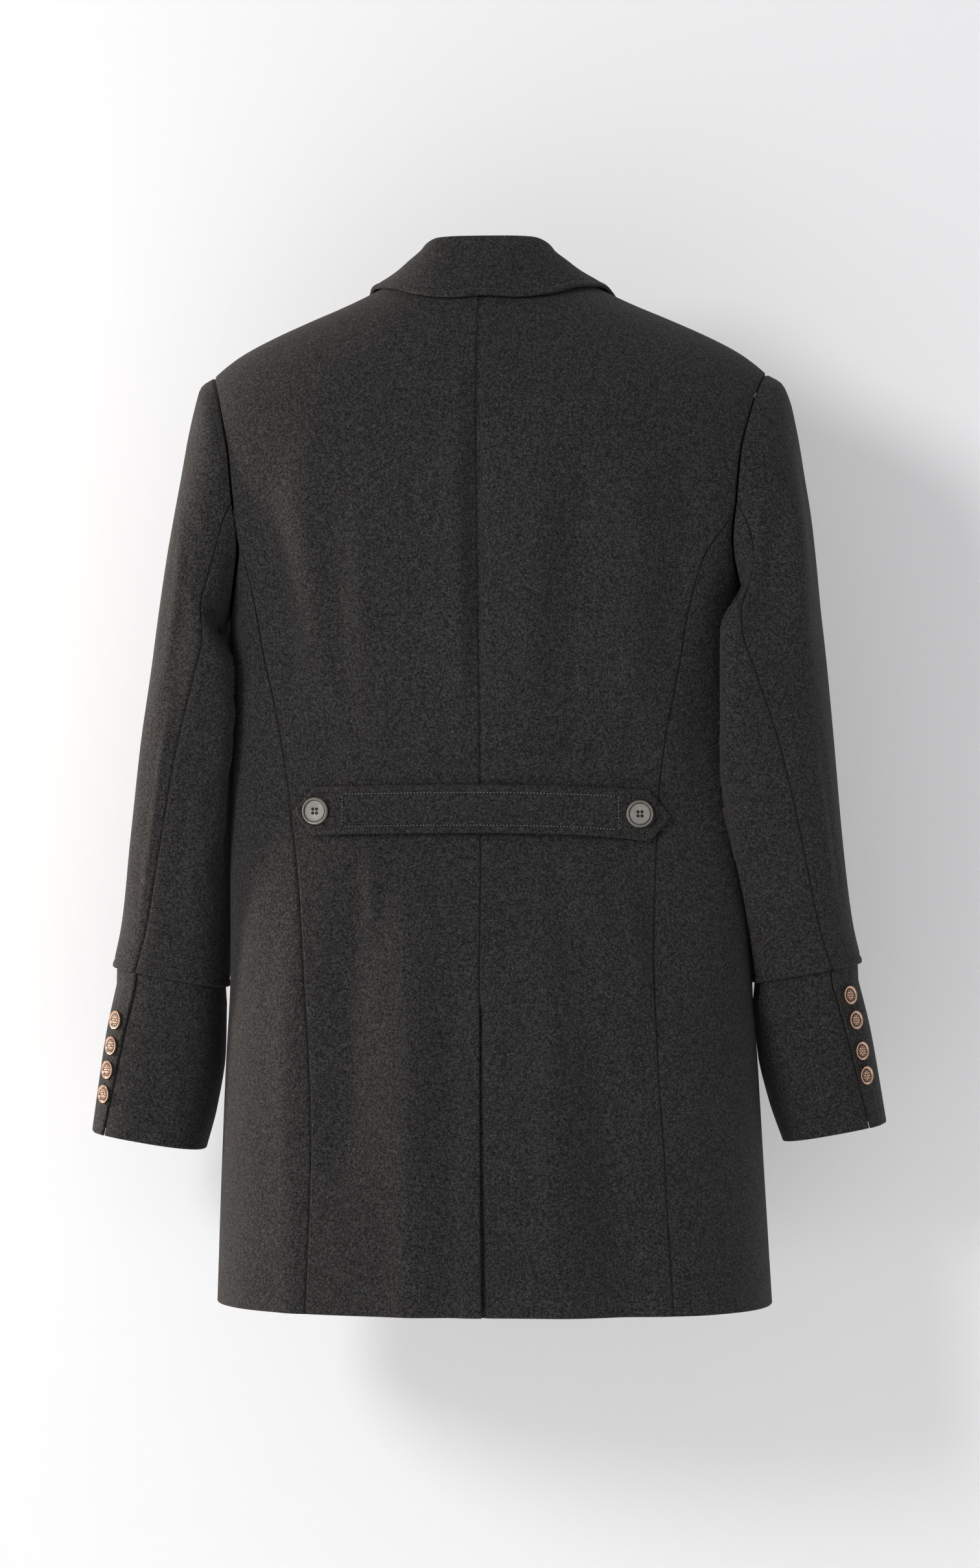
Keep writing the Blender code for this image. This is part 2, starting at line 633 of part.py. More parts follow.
def seam_angles(base, table, along):
    """Angles at a section: the back seam drifts outwards down the sleeve, and the rest follows."""
    seam = float(table.read("seam_deg", along))
    return np.interp(base, [0, BACK_SEAM_DEG, FRONT_SEAM_DEG, FULL_TURN_DEG], [0, seam, FRONT_SEAM_DEG, FULL_TURN_DEG])


def hang_of(side, angles, lower_share):
    """How far this sleeve's lower end is moved from its sections at these angles."""
    outer, inner, down, lower, flare = SLEEVE_HANG[side]
    inner = inner + flare * lower_share
    out = inner + (outer - inner) * (1 + np.cos(np.radians(angles))) / 2
    return stack(out, 0.0, down + lower * lower_share)


def sleeve_form(side, along, base):
    """Points of the sleeve at one place along it, blended from the armhole's own outline."""
    angles = seam_angles(base, SLEEVE, along)
    points = ring(SLEEVE, along, angles)
    fade = 1 - smoothstep(0.0, 0.28, along)
    if fade > 0:
        points = points + fade * (armhole(base) - ring(SLEEVE, 0.0, base))
    points = points + hang_of(side, angles, 0.0) * smoothstep(0.3, 1.0, along)
    head = HEAD_OUT[side] * smoothstep(0.0, 0.08, along) * (1 - smoothstep(0.22, 0.42, along))
    points[:, 0] += head * (1 + np.cos(np.radians(angles))) / 2
    points = points + press_of(side, along, angles)
    need = PRESS_CLEAR + (HEM_CLEAR - PRESS_CLEAR) * float(smoothstep(0.6, 1.0, along))
    return held_off(points, angles, need * float(smoothstep(0.0, 0.2, along)), along > 0)


def press_of(side, along, angles):
    """How far a sleeve that presses against the body is pushed in and back at this place along it."""
    centre, start, end, width, size = PRESS[side]
    reach = smoothstep(start, start + 0.22, along) * (1 - smoothstep(end - 0.5, end, along))
    press = size * reach * np.exp(-(((angles - centre) / width) ** 2))
    return np.array([-0.7, 0.7, 0.0]) * press[..., None]


def held_off(points, angles, need, wanted=True):
    """The inner side of a sleeve's section, moved until it stands clear of the body."""
    inner_side = smoothstep(105.0, 130.0, angles) * (1 - smoothstep(235.0, 260.0, angles))
    return np.where((inner_side > 0)[..., None] & wanted, clear_of_body(points, need * inner_side), points)


def cuff_ring(side, along, angles):
    """Points of a cuff at angles of its own section."""
    angles = np.asarray(angles, float)
    points = ring(CUFF, along, angles) + hang_of(side, angles, float(along))
    points = points + press_of(side, 1.0 + 0.25 * along, angles)
    return held_off(points, angles, HEM_CLEAR)


def cuff_form(side, along, base):
    return cuff_ring(side, along, seam_angles(base, CUFF, along))


def grid_normals(at, along, base):
    """Outward normals of a sleeve surface given by at(along, base)."""
    h, d = 1e-3, 0.5
    low, high = max(along - h, 0.0), min(along + h, 1.0)
    down = at(high, base) - at(low, base)
    round_it = at(along, (base + d) % FULL_TURN_DEG) - at(along, (base - d) % FULL_TURN_DEG)
    return unit(np.cross(down, round_it))


def sleeve_fold(side, along, base):
    height = np.zeros(len(base))
    for centre, start, end, width, rise, drift in SLEEVE_FOLDS[side]:
        share = np.clip((along - start) / (end - start), 0, 1)
        away = (base - centre - drift * share + 180) % 360 - 180
        reach = (end - start) * 0.35
        fade = smoothstep(start, start + reach, along) * (1 - smoothstep(end - reach, end, along))
        height += rise * np.exp(-((away / width) ** 2)) * fade
    return height


def sleeve_grids(side, places, base):
    """(outer, inner) grids of a whole sleeve on one side."""
    seam = armhole(base)
    body_normal, _ = form_normal(seam)
    tangent = unit(np.roll(seam[:-1], -1, axis=0) - np.roll(seam[:-1], 1, axis=0))
    tangent = np.vstack([tangent, tangent[:1]])
    away = unit(np.cross(tangent, body_normal))
    flip = np.array([side, 1.0, 1.0])

    def form(along, angle):
        return sleeve_form(side, along, angle)

    outers, inners = [], []
    for along in places:
        normal = grid_normals(form, along, base)
        if along == 0:
            lean = np.clip((normal * away).sum(-1), 0, None)
            normal = unit(normal - away * lean[:, None])
            outer = seam + away * SEAM_GAP
            lift = body_fold(seam * flip)
            outer = outer + body_normal * lift[:, None]
        else:
            outer = form(along, base) + normal * sleeve_fold(side, along, base)[:, None]
        outers.append(outer * flip)
        inners.append((outer - normal * CLOTH) * flip)
    return np.array(outers), np.array(inners)


def cuff_grids(side, base):
    """(outer, inner) grids of a cuff, whose top lies inside the sleeve's edge."""
    flip = np.array([side, 1.0, 1.0])

    def upper(along, angle):
        return sleeve_form(side, along, angle)

    def form(along, angle):
        return cuff_form(side, along, angle)

    outers, inners = [], []
    for along in (1.0 - CUFF_OVERLAP / 0.5, 1.0):
        normal = grid_normals(upper, along, base)
        outer = upper(along, base) - normal * (CLOTH + LAY_GAP)
        outers.append(outer * flip)
        inners.append((outer - normal * CLOTH) * flip)
    for along in np.linspace(0, 1, CUFF_ROWS):
        normal = grid_normals(form, along, base)
        outer = form(along, base)
        outers.append(outer * flip)
        inners.append((outer - normal * CLOTH) * flip)
    return np.array(outers), np.array(inners)


def clear_of_body(points, need):
    """Moves points out until they stand this far off the plain form."""
    points = points.copy()
    for _ in range(4):
        normal, slope = form_normal(points)
        upper = points[..., 2] > round_start(points[..., 1])[0]
        away = (level(points, upper) - 1) / np.maximum(slope, 1e-9)
        points += normal * np.clip(need - away, 0, None)[..., None]
    return points


def build_backs():
    arcs = np.linspace(0, math.pi / 2, BACK_ARC_ROWS + 1)[1:]
    plain = back_form(back_shares(), lower_shares(), arcs)
    outer, inner, _ = drape(plain, 1)
    outer, inner = inset(outer, inner, ["first_col", "last_col"])
    top = np.s_[-1, NECK_COLS:]
    for grid in (outer, inner):
        grid[top][:, 1] += SEAM_GAP / 2
    wall("back_left", outer, inner, WOOL)

    # The right back carries the vent's underlap, which passes inside the left back
    plain = back_form(back_shares(), lower_shares(), arcs, -1)
    share = VENT_STEP / (plain[:, 1, 0] - plain[:, 0, 0])
    step = plain[:, 0] + (plain[:, 1] - plain[:, 0]) * share[:, None]
    laps = []
    for x in (VENT_UNDERLAP, VENT_UNDERLAP / 2):
        laps.append(stack(-x, depth_at(x, np.minimum(plain[:, 0, 2], -0.02), True), plain[:, 0, 2]))
    main = np.concatenate([plain[:, :1], step[:, None], plain[:, 1:]], axis=1)
    outer, inner, _ = drape(main, -1)
    inset(outer, inner, ["first_col", "last_col"])
    lap_points = np.stack(laps, axis=1)
    lap_normal, _ = form_normal(lap_points * np.array([-1.0, 1.0, 1.0]))
    flip = np.array([-1.0, 1.0, 1.0])
    lap_points = lap_points * flip
    under = CLOTH + 2 * SEAM_GAP + LAY_GAP / 2
    lap_outer = lap_points + lap_normal * (body_fold(lap_points) - under)[..., None]
    lap_outer[..., 0] += BODY.read("sway", lap_points[..., 2])
    lap_inner = lap_outer - lap_normal * CLOTH
    below = plain[:, 0, 2] < VENT_TOP_Z
    for grid in (outer, inner):
        grid[below, 0, 1] -= under
    for grid in (outer, inner):
        grid[-1, NECK_COLS + 1 :, 1] += SEAM_GAP / 2
    outer = np.concatenate([lap_outer, outer], axis=1)
    inner = np.concatenate([lap_inner, inner], axis=1)
    present = np.ones((outer.shape[0] - 1, outer.shape[1] - 1), bool)
    present[~(below[:-1] & below[1:]), :2] = False
    wall("back_right", outer, inner, WOOL, present)


def build_sides():
    angles = armhole_angles()
    first = BACK_ARC_ROWS
    last = first + UNDER_BACK_COLS + UNDER_FRONT_COLS
    for side, name in ((1, "side_left"), (-1, "side_right")):
        plain = side_form(angles[first : last + 1], lower_shares(), side)
        outer, inner, _ = drape(plain, side)
        wall(name, *inset(outer, inner, ["first_col", "last_col"]), WOOL)


def build_fronts():
    shares = np.linspace(0, 1, FRONT_COLS + 1)
    arcs = np.linspace(0, math.pi / 2, FRONT_ARC_ROWS + 1)[1:]
    plain = front_form(shares, lower_shares(), arcs)
    for side, name in ((1, "front_left"), (-1, "front_right")):
        lift = lap_lift(plain) if side > 0 else 0.0
        outer, inner, _ = drape(plain, side, lift)
        inset(outer, inner, ["first_col"])
        for grid in (outer, inner):
            grid[-1, :, 1] -= SEAM_GAP / 2
        wall(name, outer, inner, WOOL)


def build_sleeves():
    base = armhole_angles()
    places = np.concatenate([SLEEVE.at[:-1], [0.53, 0.71, 1.0 - CUFF_OVERLAP / 0.5, 1.0]])
    places = np.sort(np.unique(places))
    back = BACK_ARC_ROWS
    front = back + UNDER_BACK_COLS + UNDER_FRONT_COLS
    for side, word in ((1, "left"), (-1, "right")):
        for label, (outer, inner) in (
            ("sleeve", sleeve_grids(side, places, base)),
            ("cuff", cuff_grids(side, base)),
        ):
            upper = np.concatenate([np.arange(front, len(base) - 1), np.arange(back + 1)])
            under = np.arange(back, front + 1)
            for part, cols in (("top", upper), ("under", under)):
                grids = inset(outer[:, cols].copy(), inner[:, cols].copy(), ["first_col", "last_col"])
                wall(f"{label}_{part}_{word}", *grids, WOOL)


def collar_half():
    """The collar's two faces over the wearer's left half: rows from its seam over the crest to its edge."""
    arcs = np.linspace(0, math.pi / 2, BACK_ARC_ROWS + 1)[1:]
    back, _, back_normal = drape(back_form(back_shares(), lower_shares(), arcs), 1)
    arcs = np.linspace(0, math.pi / 2, FRONT_ARC_ROWS + 1)[1:]
    front, _, front_normal = drape(front_form(np.linspace(0, 1, FRONT_COLS + 1), lower_shares(), arcs), 1)
    seam = np.vstack([back[-1, : NECK_COLS + 1], front[-2 : -2 - GORGE_ROWS : -1, -1]])
    seam_normal = np.vstack([back_normal[-1, : NECK_COLS + 1], front_normal[-2 : -2 - GORGE_ROWS : -1, -1]])
    seam_normal[NECK_COLS] = unit(back_normal[-2, NECK_COLS] + front_normal[-2, -1])
    along = np.gradient(seam, axis=0)
    along[0] = (1.0, 0.0, 0.0)
    inward = unit(np.cross(along, seam_normal))
    count = len(seam)
    t = np.linspace(0, 1, count)
    crest = stack(*(COLLAR.read(name, t) for name in ("crest_x", "crest_y", "crest_z")))
    stand = crest[NECK_COLS] - seam[NECK_COLS]
    for k, share in zip(range(NECK_COLS + 1, count), STAND_FADE):
        crest[k] = seam[k] + stand * share + seam_normal[k] * ROLL_R
    edge = stack(COLLAR.read("edge_x", t), COLLAR.read("edge_y", t), 0.0)
    edge[:, 2] = top_z(edge[:, 0], edge[:, 1])
    edge_normal, _ = form_normal(edge)
    edge = edge + edge_normal * COLLAR_EDGE_GAP
    out = edge - crest
    out[:, 2] = 0.0
    out = unit(out)
    up = np.array([0.0, 0.0, 1.0]) + 0 * out
    low, high = seam + inward * SEAM_GAP, crest - out * ROLL_R
    stand_out = unit(high - low)
    stand_face = unit(np.cross(np.cross(stand_out, -out), stand_out))
    under = [low, (low + high) / 2, high, crest + up * ROLL_R, crest + out * ROLL_R]
    faces = [None, stand_face, -out, up, out]
    start = under[-1]
    line = unit(edge - start)
    lift = unit(np.cross(np.cross(line, up + out), line))
    for share in np.linspace(0, 1, FALL_ROWS + 1)[1:]:
        point = start + (edge - start) * share + lift * COLLAR_BULGE * 4 * share * (1 - share)
        under.append(clear_of_body(point, COLLAR_EDGE_GAP * 0.95))
        faces.append(unit(lift + (out - lift) * max(0.0, 0.4 - share) + line * (share - 0.5) * 0.3))
    over = [seam - seam_normal * CLOTH + inward * SEAM_GAP]
    over += [point + face * COLLAR_CLOTH for point, face in zip(under[1:], faces[1:])]
    return np.array(over), np.array(under)


def build_collar():
    over, under = collar_half()
    flip = np.array([-1.0, 1.0, 1.0])
    grids = [np.concatenate([(grid * flip)[:, :0:-1], grid], axis=1) for grid in (over, under)]
    wall("collar", *grids, WOOL)


def lapel_grids(side):
    """(outer, inner) grids of a lapel: rows up the roll line, columns from the roll to its free edge."""
    shares = np.linspace(0, 1, FRONT_COLS + 1)
    arcs = np.linspace(0, math.pi / 2, FRONT_ARC_ROWS + 1)[1:]
    plain = front_form(shares, lower_shares(), arcs)[LOWER_ROWS : -GORGE_ROWS - 1]
    lift = lap_lift(plain) if side > 0 else 0.0
    panel, panel_in, normal = drape(plain, side, lift)
    edge, edge_in, edge_normal = panel[:, -1], panel_in[:, -1], normal[:, -1]
    out = unit(np.cross(np.gradient(edge, axis=0), edge_normal)) * -side
    roll = plain[:, -1]
    s = np.linspace(0, 1, len(roll))
    start = np.array([roll[0, 0] + LAPEL_START_WIDTH, roll[0, 2]])
    tip = np.array(LAPEL_TIP)
    across = unit(np.array([-(tip - start)[1], (tip - start)[0]])) * -1
    free = start + (tip - start) * s[:, None] + across * (LAPEL_BELLY * 4 * s * (1 - s))[:, None]
    if side > 0:
        first = roll[:, [0, 2]]
    else:
        over_edge = -roll[:, 0] + 2 * (LAPEL_ROLL_R + COLLAR_CLOTH)
        first = np.stack([np.maximum(roll[:, 0], over_edge), roll[:, 2]], axis=-1)
    flip = np.array([side, 1.0, 1.0])
    outer, inner = [], []
    if side > 0:
        inner = [edge + out * SEAM_GAP, edge + out * (SEAM_GAP + LAPEL_ROLL_R) + edge_normal * LAPEL_ROLL_R]
        outer = [edge_in + out * SEAM_GAP, inner[1] + out * COLLAR_CLOTH]
    for c in np.linspace(0, 1, LAPEL_COLS):
        x, z = (first + (free - first) * c).T
        point = stack(x, -depth_at(x, z, False), z)
        face, _ = form_normal(point)
        high = lap_lift(point) if side > 0 else 0.0
        _, _, face = drape(point, side)
        base, _, _ = drape(point, side, high)
        inner.append(base + face * (2 * LAPEL_ROLL_R if side > 0 else LAPEL_REST))
        outer.append(inner[-1] + face * COLLAR_CLOTH)
    return np.stack(outer, axis=1), np.stack(inner, axis=1)


def build_lapels():
    wall("lapel_left", *lapel_grids(1), WOOL)
    outer, inner = lapel_grids(-1)
    keep = (outer[:-1, -1] - outer[:-1, 0])[:, 0] * -1 > 0.004
    present = np.repeat(keep[:, None], outer.shape[1] - 1, axis=1)
    wall("lapel_right", outer, inner, WOOL, present)


def build_belt():
    v = np.linspace(-1, 1, 5)
    u = np.linspace(-1, 1, 27)
    grid_u, grid_v = np.meshgrid(u, v)
    reach = np.where(grid_u > 0, BELT_LEFT_X, BELT_RIGHT_X)
    x = grid_u * (reach - BELT_POINT * np.abs(grid_v) * np.abs(grid_u) ** 3)
    droop = np.where(grid_u > 0, BELT_DROOP_LEFT, BELT_DROOP_RIGHT) * np.abs(grid_u) ** 2
    z = BELT_Z - droop + grid_v * (BELT_HALF_HEIGHT + BELT_FLARE * np.clip(-grid_u, 0, 1) ** 4)
    side = np.sign(x)
    plain = stack(np.abs(x), depth_at(np.abs(x), z, True), z)
    normal, _ = form_normal(plain)
    flip = np.stack([np.where(side < 0, -1.0, 1.0), np.ones_like(x), np.ones_like(x)], axis=-1)
    plain, normal = plain * flip, normal * flip
    fold = np.clip(body_fold(plain), 0, None)
    stand = BELT_GAP + BELT_RISE * (0.35 - 0.65 * grid_v) * (1 - np.abs(grid_u) ** 3)
    inner = plain + normal * (fold + np.maximum(stand, BELT_GAP))[..., None]
    inner[..., 0] += BODY.read("sway", plain[..., 2])
    wall("half_belt", inner + normal * BELT_CLOTH, inner, WOOL)
    return inner + normal * BELT_CLOTH, normal


def button(name, centre, normal, radius, profile, paint):
    """A turned button whose back is at centre and whose face points along normal."""
    outline = [(share * radius, 0.0, height) for share, height in reversed(profile)]
    mesh = bpy.data.meshes.new(name)
    mesh.from_pydata(outline, [(k, k + 1) for k in range(len(outline) - 1)], [])
    made = add_object(name, mesh, paint)
    made.location = centre
    made.rotation_euler = Vector(normal).to_track_quat("Z", "Y").to_euler()
    turned = made.modifiers.new("turned", "SCREW")
    turned.axis = "Z"
    turned.steps = BUTTON_SIDES
    turned.render_steps = BUTTON_SIDES
    turned.use_merge_vertices = True
    turned.merge_threshold = 0.00001
    turned.use_smooth_shade = True
    return made


def build_belt_buttons(belt_outer, belt_normal):
    middle = belt_outer[2]
    places = (("left", BELT_LEFT_X - BELT_BUTTON_INSET_LEFT), ("right", BELT_BUTTON_INSET_RIGHT - BELT_RIGHT_X))
    for word, at in places:
        centre = np.array([np.interp(at, middle[:, 0], middle[:, k]) for k in range(3)])
        normal = np.array([np.interp(at, middle[:, 0], belt_normal[2][:, k]) for k in range(3)])
        button(f"belt_button_{word}", centre + unit(normal) * BUTTON_GAP, normal, BELT_BUTTON_R, HORN_PROFILE, HORN)


def build_cuff_buttons():
    for side, word in ((1, "left"), (-1, "right")):

        def form(along, at):
            return cuff_ring(side, along, at)

        for k, z in enumerate(CUFF_BUTTON_Z[word]):
            angle = CUFF_BUTTON_DEG
            low, high = 0.0, 1.0
            for _ in range(30):
                middle = (low + high) / 2
                if form(middle, angle)[2] > z:
                    low = middle
                else:
                    high = middle
            centre = form(low, angle)
            normal = grid_normals(form, low, np.array([angle]))[0]
            flip = np.array([side, 1.0, 1.0])
            at = (centre + normal * BUTTON_GAP) * flip
            button(f"cuff_button_{word}_{k + 1}", at, normal * flip, CUFF_BUTTON_R, GILT_PROFILE, GILT)


def build_front_buttons():
    for k in range(FRONT_BUTTON_ROWS):
        z = FRONT_BUTTON_TOP_Z - k * FRONT_BUTTON_PITCH
        for word, x in (("left", FRONT_BUTTON_X), ("right", -FRONT_BUTTON_X)):
            point = stack(abs(x), -depth_at(abs(x), z, False), z)[None]
            _, _, normal = drape(point, 1 if x > 0 else -1)
            outer, _, _ = drape(point, 1 if x > 0 else -1, CLOTH + LAP_GAP)
            centre = outer[0] + normal[0] * BUTTON_GAP
            button(f"front_button_{word}_{k + 1}", centre, normal[0], FRONT_BUTTON_R, GILT_PROFILE, GILT)


def clear_scene():
    for item in list(bpy.data.objects):
        bpy.data.objects.remove(item, do_unlink=True)


clear_scene()
COAT = bpy.data.collections.new("double_breasted_coat")
bpy.context.scene.collection.children.link(COAT)
WOOL = material("charcoal_wool", (0.030, 0.029, 0.028), 0.95)
GILT = material("gilt_brass", (0.72, 0.47, 0.26), 0.30, 1.0)
HORN = material("grey_horn", (0.10, 0.10, 0.09), 0.30)

build_backs()
build_sides()
build_fronts()
build_sleeves()
build_collar()
build_lapels()
build_belt_buttons(*build_belt())
build_cuff_buttons()
build_front_buttons()
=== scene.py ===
"""The dressed view of a dark wool coat, seen from behind: fine cloth over the part's solids, its
stitches and buttons, and a pale wall with soft light from the upper left."""
import math

import bpy
import numpy as np
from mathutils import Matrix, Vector


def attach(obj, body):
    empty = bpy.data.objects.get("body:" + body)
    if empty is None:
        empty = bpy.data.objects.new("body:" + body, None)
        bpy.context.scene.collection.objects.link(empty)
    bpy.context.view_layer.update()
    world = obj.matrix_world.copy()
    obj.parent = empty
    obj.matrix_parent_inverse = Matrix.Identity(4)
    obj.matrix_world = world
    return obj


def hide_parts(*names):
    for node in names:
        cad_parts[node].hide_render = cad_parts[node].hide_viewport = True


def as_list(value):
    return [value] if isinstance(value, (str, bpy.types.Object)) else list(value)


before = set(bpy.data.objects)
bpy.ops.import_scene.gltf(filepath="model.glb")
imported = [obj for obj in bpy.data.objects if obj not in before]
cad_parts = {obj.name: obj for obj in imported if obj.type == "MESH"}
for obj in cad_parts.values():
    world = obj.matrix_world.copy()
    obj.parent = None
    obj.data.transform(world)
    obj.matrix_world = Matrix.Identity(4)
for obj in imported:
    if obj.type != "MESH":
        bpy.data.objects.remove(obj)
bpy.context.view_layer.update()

# Cloth
CLOTH = 0.0028
BELT_CLOTH = 0.0032
SEAM_GAP = 0.0003
LAY_GAP = 0.0009

# Body levels and widths
HEM_Z = -0.866
BLADE_Z = -0.185
CHEST_Z = -0.235
UNDERARM_Z = -0.281
SHOULDER_TIP_X = 0.2365
SHOULDER_TIP_Z = -0.073
NECK_SIDE_X = 0.080
BACK_ROUND = 2.2
FRONT_ROUND = 2.0

# Fronts
LAP_X = 0.085
LAP_LIFT_RUN = 0.050
LAP_GAP = 0.0020
FRONT_BUTTON_X = 0.060
FRONT_BUTTON_TOP_Z = -0.262
FRONT_BUTTON_PITCH = 0.092
FRONT_BUTTON_ROWS = 4

# Vent
VENT_TOP_Z = -0.605
VENT_UNDERLAP = 0.040
VENT_STEP = 0.006

# Half belt
BELT_Z = -0.443
BELT_HALF_HEIGHT = 0.0205
BELT_LEFT_X = 0.160
BELT_RIGHT_X = 0.157
BELT_POINT = 0.018
BELT_GAP = 0.0014
BELT_DROOP_LEFT = 0.0025
BELT_DROOP_RIGHT = 0.0060
BELT_FLARE = 0.0016
BELT_BUTTON_INSET_LEFT = 0.0195
BELT_BUTTON_INSET_RIGHT = 0.0250
BELT_RISE = 0.0035

# Buttons
BUTTON_GAP = 0.0008
CUFF_BUTTON_DEG = 41.0
CUFF_BUTTON_Z = {"left": (-0.625, -0.647, -0.668, -0.689), "right": (-0.6015, -0.6227, -0.649, -0.670)}
BELT_BUTTON_R = 0.0114
CUFF_BUTTON_R = 0.0078
FRONT_BUTTON_R = 0.0115

# Collar and lapels
COLLAR_CLOTH = 0.0032
ROLL_R = 0.0014
COLLAR_BULGE = 0.0006
COLLAR_EDGE_GAP = 0.0018
STAND_FADE = (0.62, 0.30, 0.0)

# Grid sizes
LOWER_ROWS = 21
BACK_ARC_ROWS = 8
FRONT_ARC_ROWS = 9
NECK_COLS = 4
SHOULDER_COLS = 8
FRONT_COLS = 10
GORGE_ROWS = 3

# The wearer's left and right sides
SIDES = ((1, "left"), (-1, "right"))

# Angles round the armhole: 0 at the shoulder tip, then back, underarm and front
BACK_SEAM_DEG = 90.0
UNDERARM_DEG = 180.0
FRONT_SEAM_DEG = 236.0
FULL_TURN_DEG = 360.0


def smooth_slopes(rise):
    """Slopes at the points of a curve from its rise between them, so that it doesn't overshoot."""
    same_way = rise[:-1] * rise[1:] > 0
    both = np.where(same_way, rise[:-1] + rise[1:], 1.0)
    middle = np.where(same_way, 2 * rise[:-1] * rise[1:] / both, 0.0)
    return np.concatenate([rise[:1], middle, rise[-1:]])


def curve_between(s, h, low, low_slope, high, high_slope):
    """A cubic curve at share s of a step h, from its values and slopes at the step's ends."""
    return (
        (1 + 2 * s) * (1 - s) ** 2 * low
        + s * (1 - s) ** 2 * h * low_slope
        + s * s * (3 - 2 * s) * high
        - s * s * (1 - s) * h * high_slope
    )


class Table:
    """Rows of named columns, read between the rows by a smooth curve that doesn't overshoot."""

    def __init__(self, columns, rows):
        rows = sorted(rows)
        self.at = np.array([row[0] for row in rows], float)
        self.values = {name: np.array([row[i] for row in rows], float) for i, name in enumerate(columns)}

    def read(self, name, at):
        x, y = self.at, self.values[name]
        at = np.clip(np.asarray(at, float), x[0], x[-1])
        step = np.diff(x)
        slope = smooth_slopes(np.diff(y) / step)
        i = np.clip(np.searchsorted(x, at, side="right") - 1, 0, len(step) - 1)
        h = step[i]
        return curve_between((at - x[i]) / h, h, y[i], slope[i], y[i + 1], slope[i + 1])


# The body's level sections: a squared ellipse with a back half and a front half
BODY = Table(
    ("z", "half_width", "back", "front", "power", "sway", "princess_x", "front_seam_y"),
    [
        (-0.866, 0.2405, 0.128, 0.133, 2.25, -0.0030, 0.1548, -0.050),
        (-0.760, 0.2355, 0.124, 0.131, 2.25, -0.0015, 0.1497, -0.050),
        (-0.660, 0.2305, 0.119, 0.128, 2.30, -0.0005, 0.1471, -0.049),
        (-0.580, 0.2255, 0.111, 0.125, 2.35, 0.0, 0.1480, -0.048),
        (-0.510, 0.2235, 0.098, 0.119, 2.40, 0.0, 0.1509, -0.048),
        (-0.443, 0.2225, 0.090, 0.114, 2.40, 0.0, 0.1560, -0.049),
        (-0.380, 0.2220, 0.094, 0.117, 2.45, 0.0, 0.1655, -0.052),
        (-0.320, 0.2225, 0.104, 0.124, 2.50, 0.0, 0.1780, -0.058),
        (-0.281, 0.2225, 0.110, 0.128, 2.55, 0.0, 0.1850, -0.066),
        (-0.235, 0.2340, 0.113, 0.130, 2.60, 0.0, 0.1960, -0.081),
        (-0.185, 0.2490, 0.115, 0.128, 2.60, 0.0, 0.2130, -0.081),
        (-0.100, 0.2580, 0.115, 0.120, 2.60, 0.0, 0.2130, -0.081),
        (0.060, 0.2600, 0.115, 0.120, 2.60, 0.0, 0.2130, -0.081),
    ],
)

# How far the seams of the back sit towards the wearer's left, because the cloth hangs a little twisted
TWIST = Table(
    ("z", "princess", "centre"),
    [
        (-0.866, -0.0045, 0.0),
        (-0.750, -0.0045, 0.0),
        (-0.652, -0.0010, 0.0),
        (-0.578, 0.0025, 0.0),
        (-0.510, 0.0050, 0.0),
        (-0.443, 0.0085, 0.0010),
        (-0.380, 0.0108, 0.0012),
        (-0.281, 0.0105, 0.0015),
        (-0.235, 0.0095, 0.0020),
        (-0.185, 0.0, 0.0022),
        (-0.050, 0.0, 0.0035),
        (-0.008, 0.0, 0.0035),
        (0.0060, 0.0, 0.0),
    ],
)

# The top of the shoulder, seen from behind, and the neckline below it at the back
RIDGE = Table(
    ("x", "z"),
    [
        (0.0, 0.0320),
        (0.040, 0.0235),
        (0.080, 0.0080),
        (0.105, -0.0045),
        (0.125, -0.0138),
        (0.1525, -0.0254),
        (0.1875, -0.0411),
        (0.211, -0.0535),
        (0.2245, -0.0628),
        (0.2365, -0.0730),
        (0.262, -0.0980),
    ],
)
NECKLINE = Table(("x", "z"), [(0.0, 0.0085), (0.040, 0.0065), (0.065, 0.0060), (0.080, 0.0080)])

# The armhole's distance from the middle, by height, at the back and at the front
BACK_ARMHOLE = Table(
    ("z", "x"), [(-0.185, 0.2130), (-0.150, 0.2165), (-0.123, 0.2225), (-0.092, 0.2305), (-0.073, 0.2365)]
)
FRONT_ARMHOLE = Table(
    ("z", "x"), [(-0.235, 0.2045), (-0.180, 0.2010), (-0.140, 0.2080), (-0.100, 0.2240), (-0.073, 0.2365)]
)

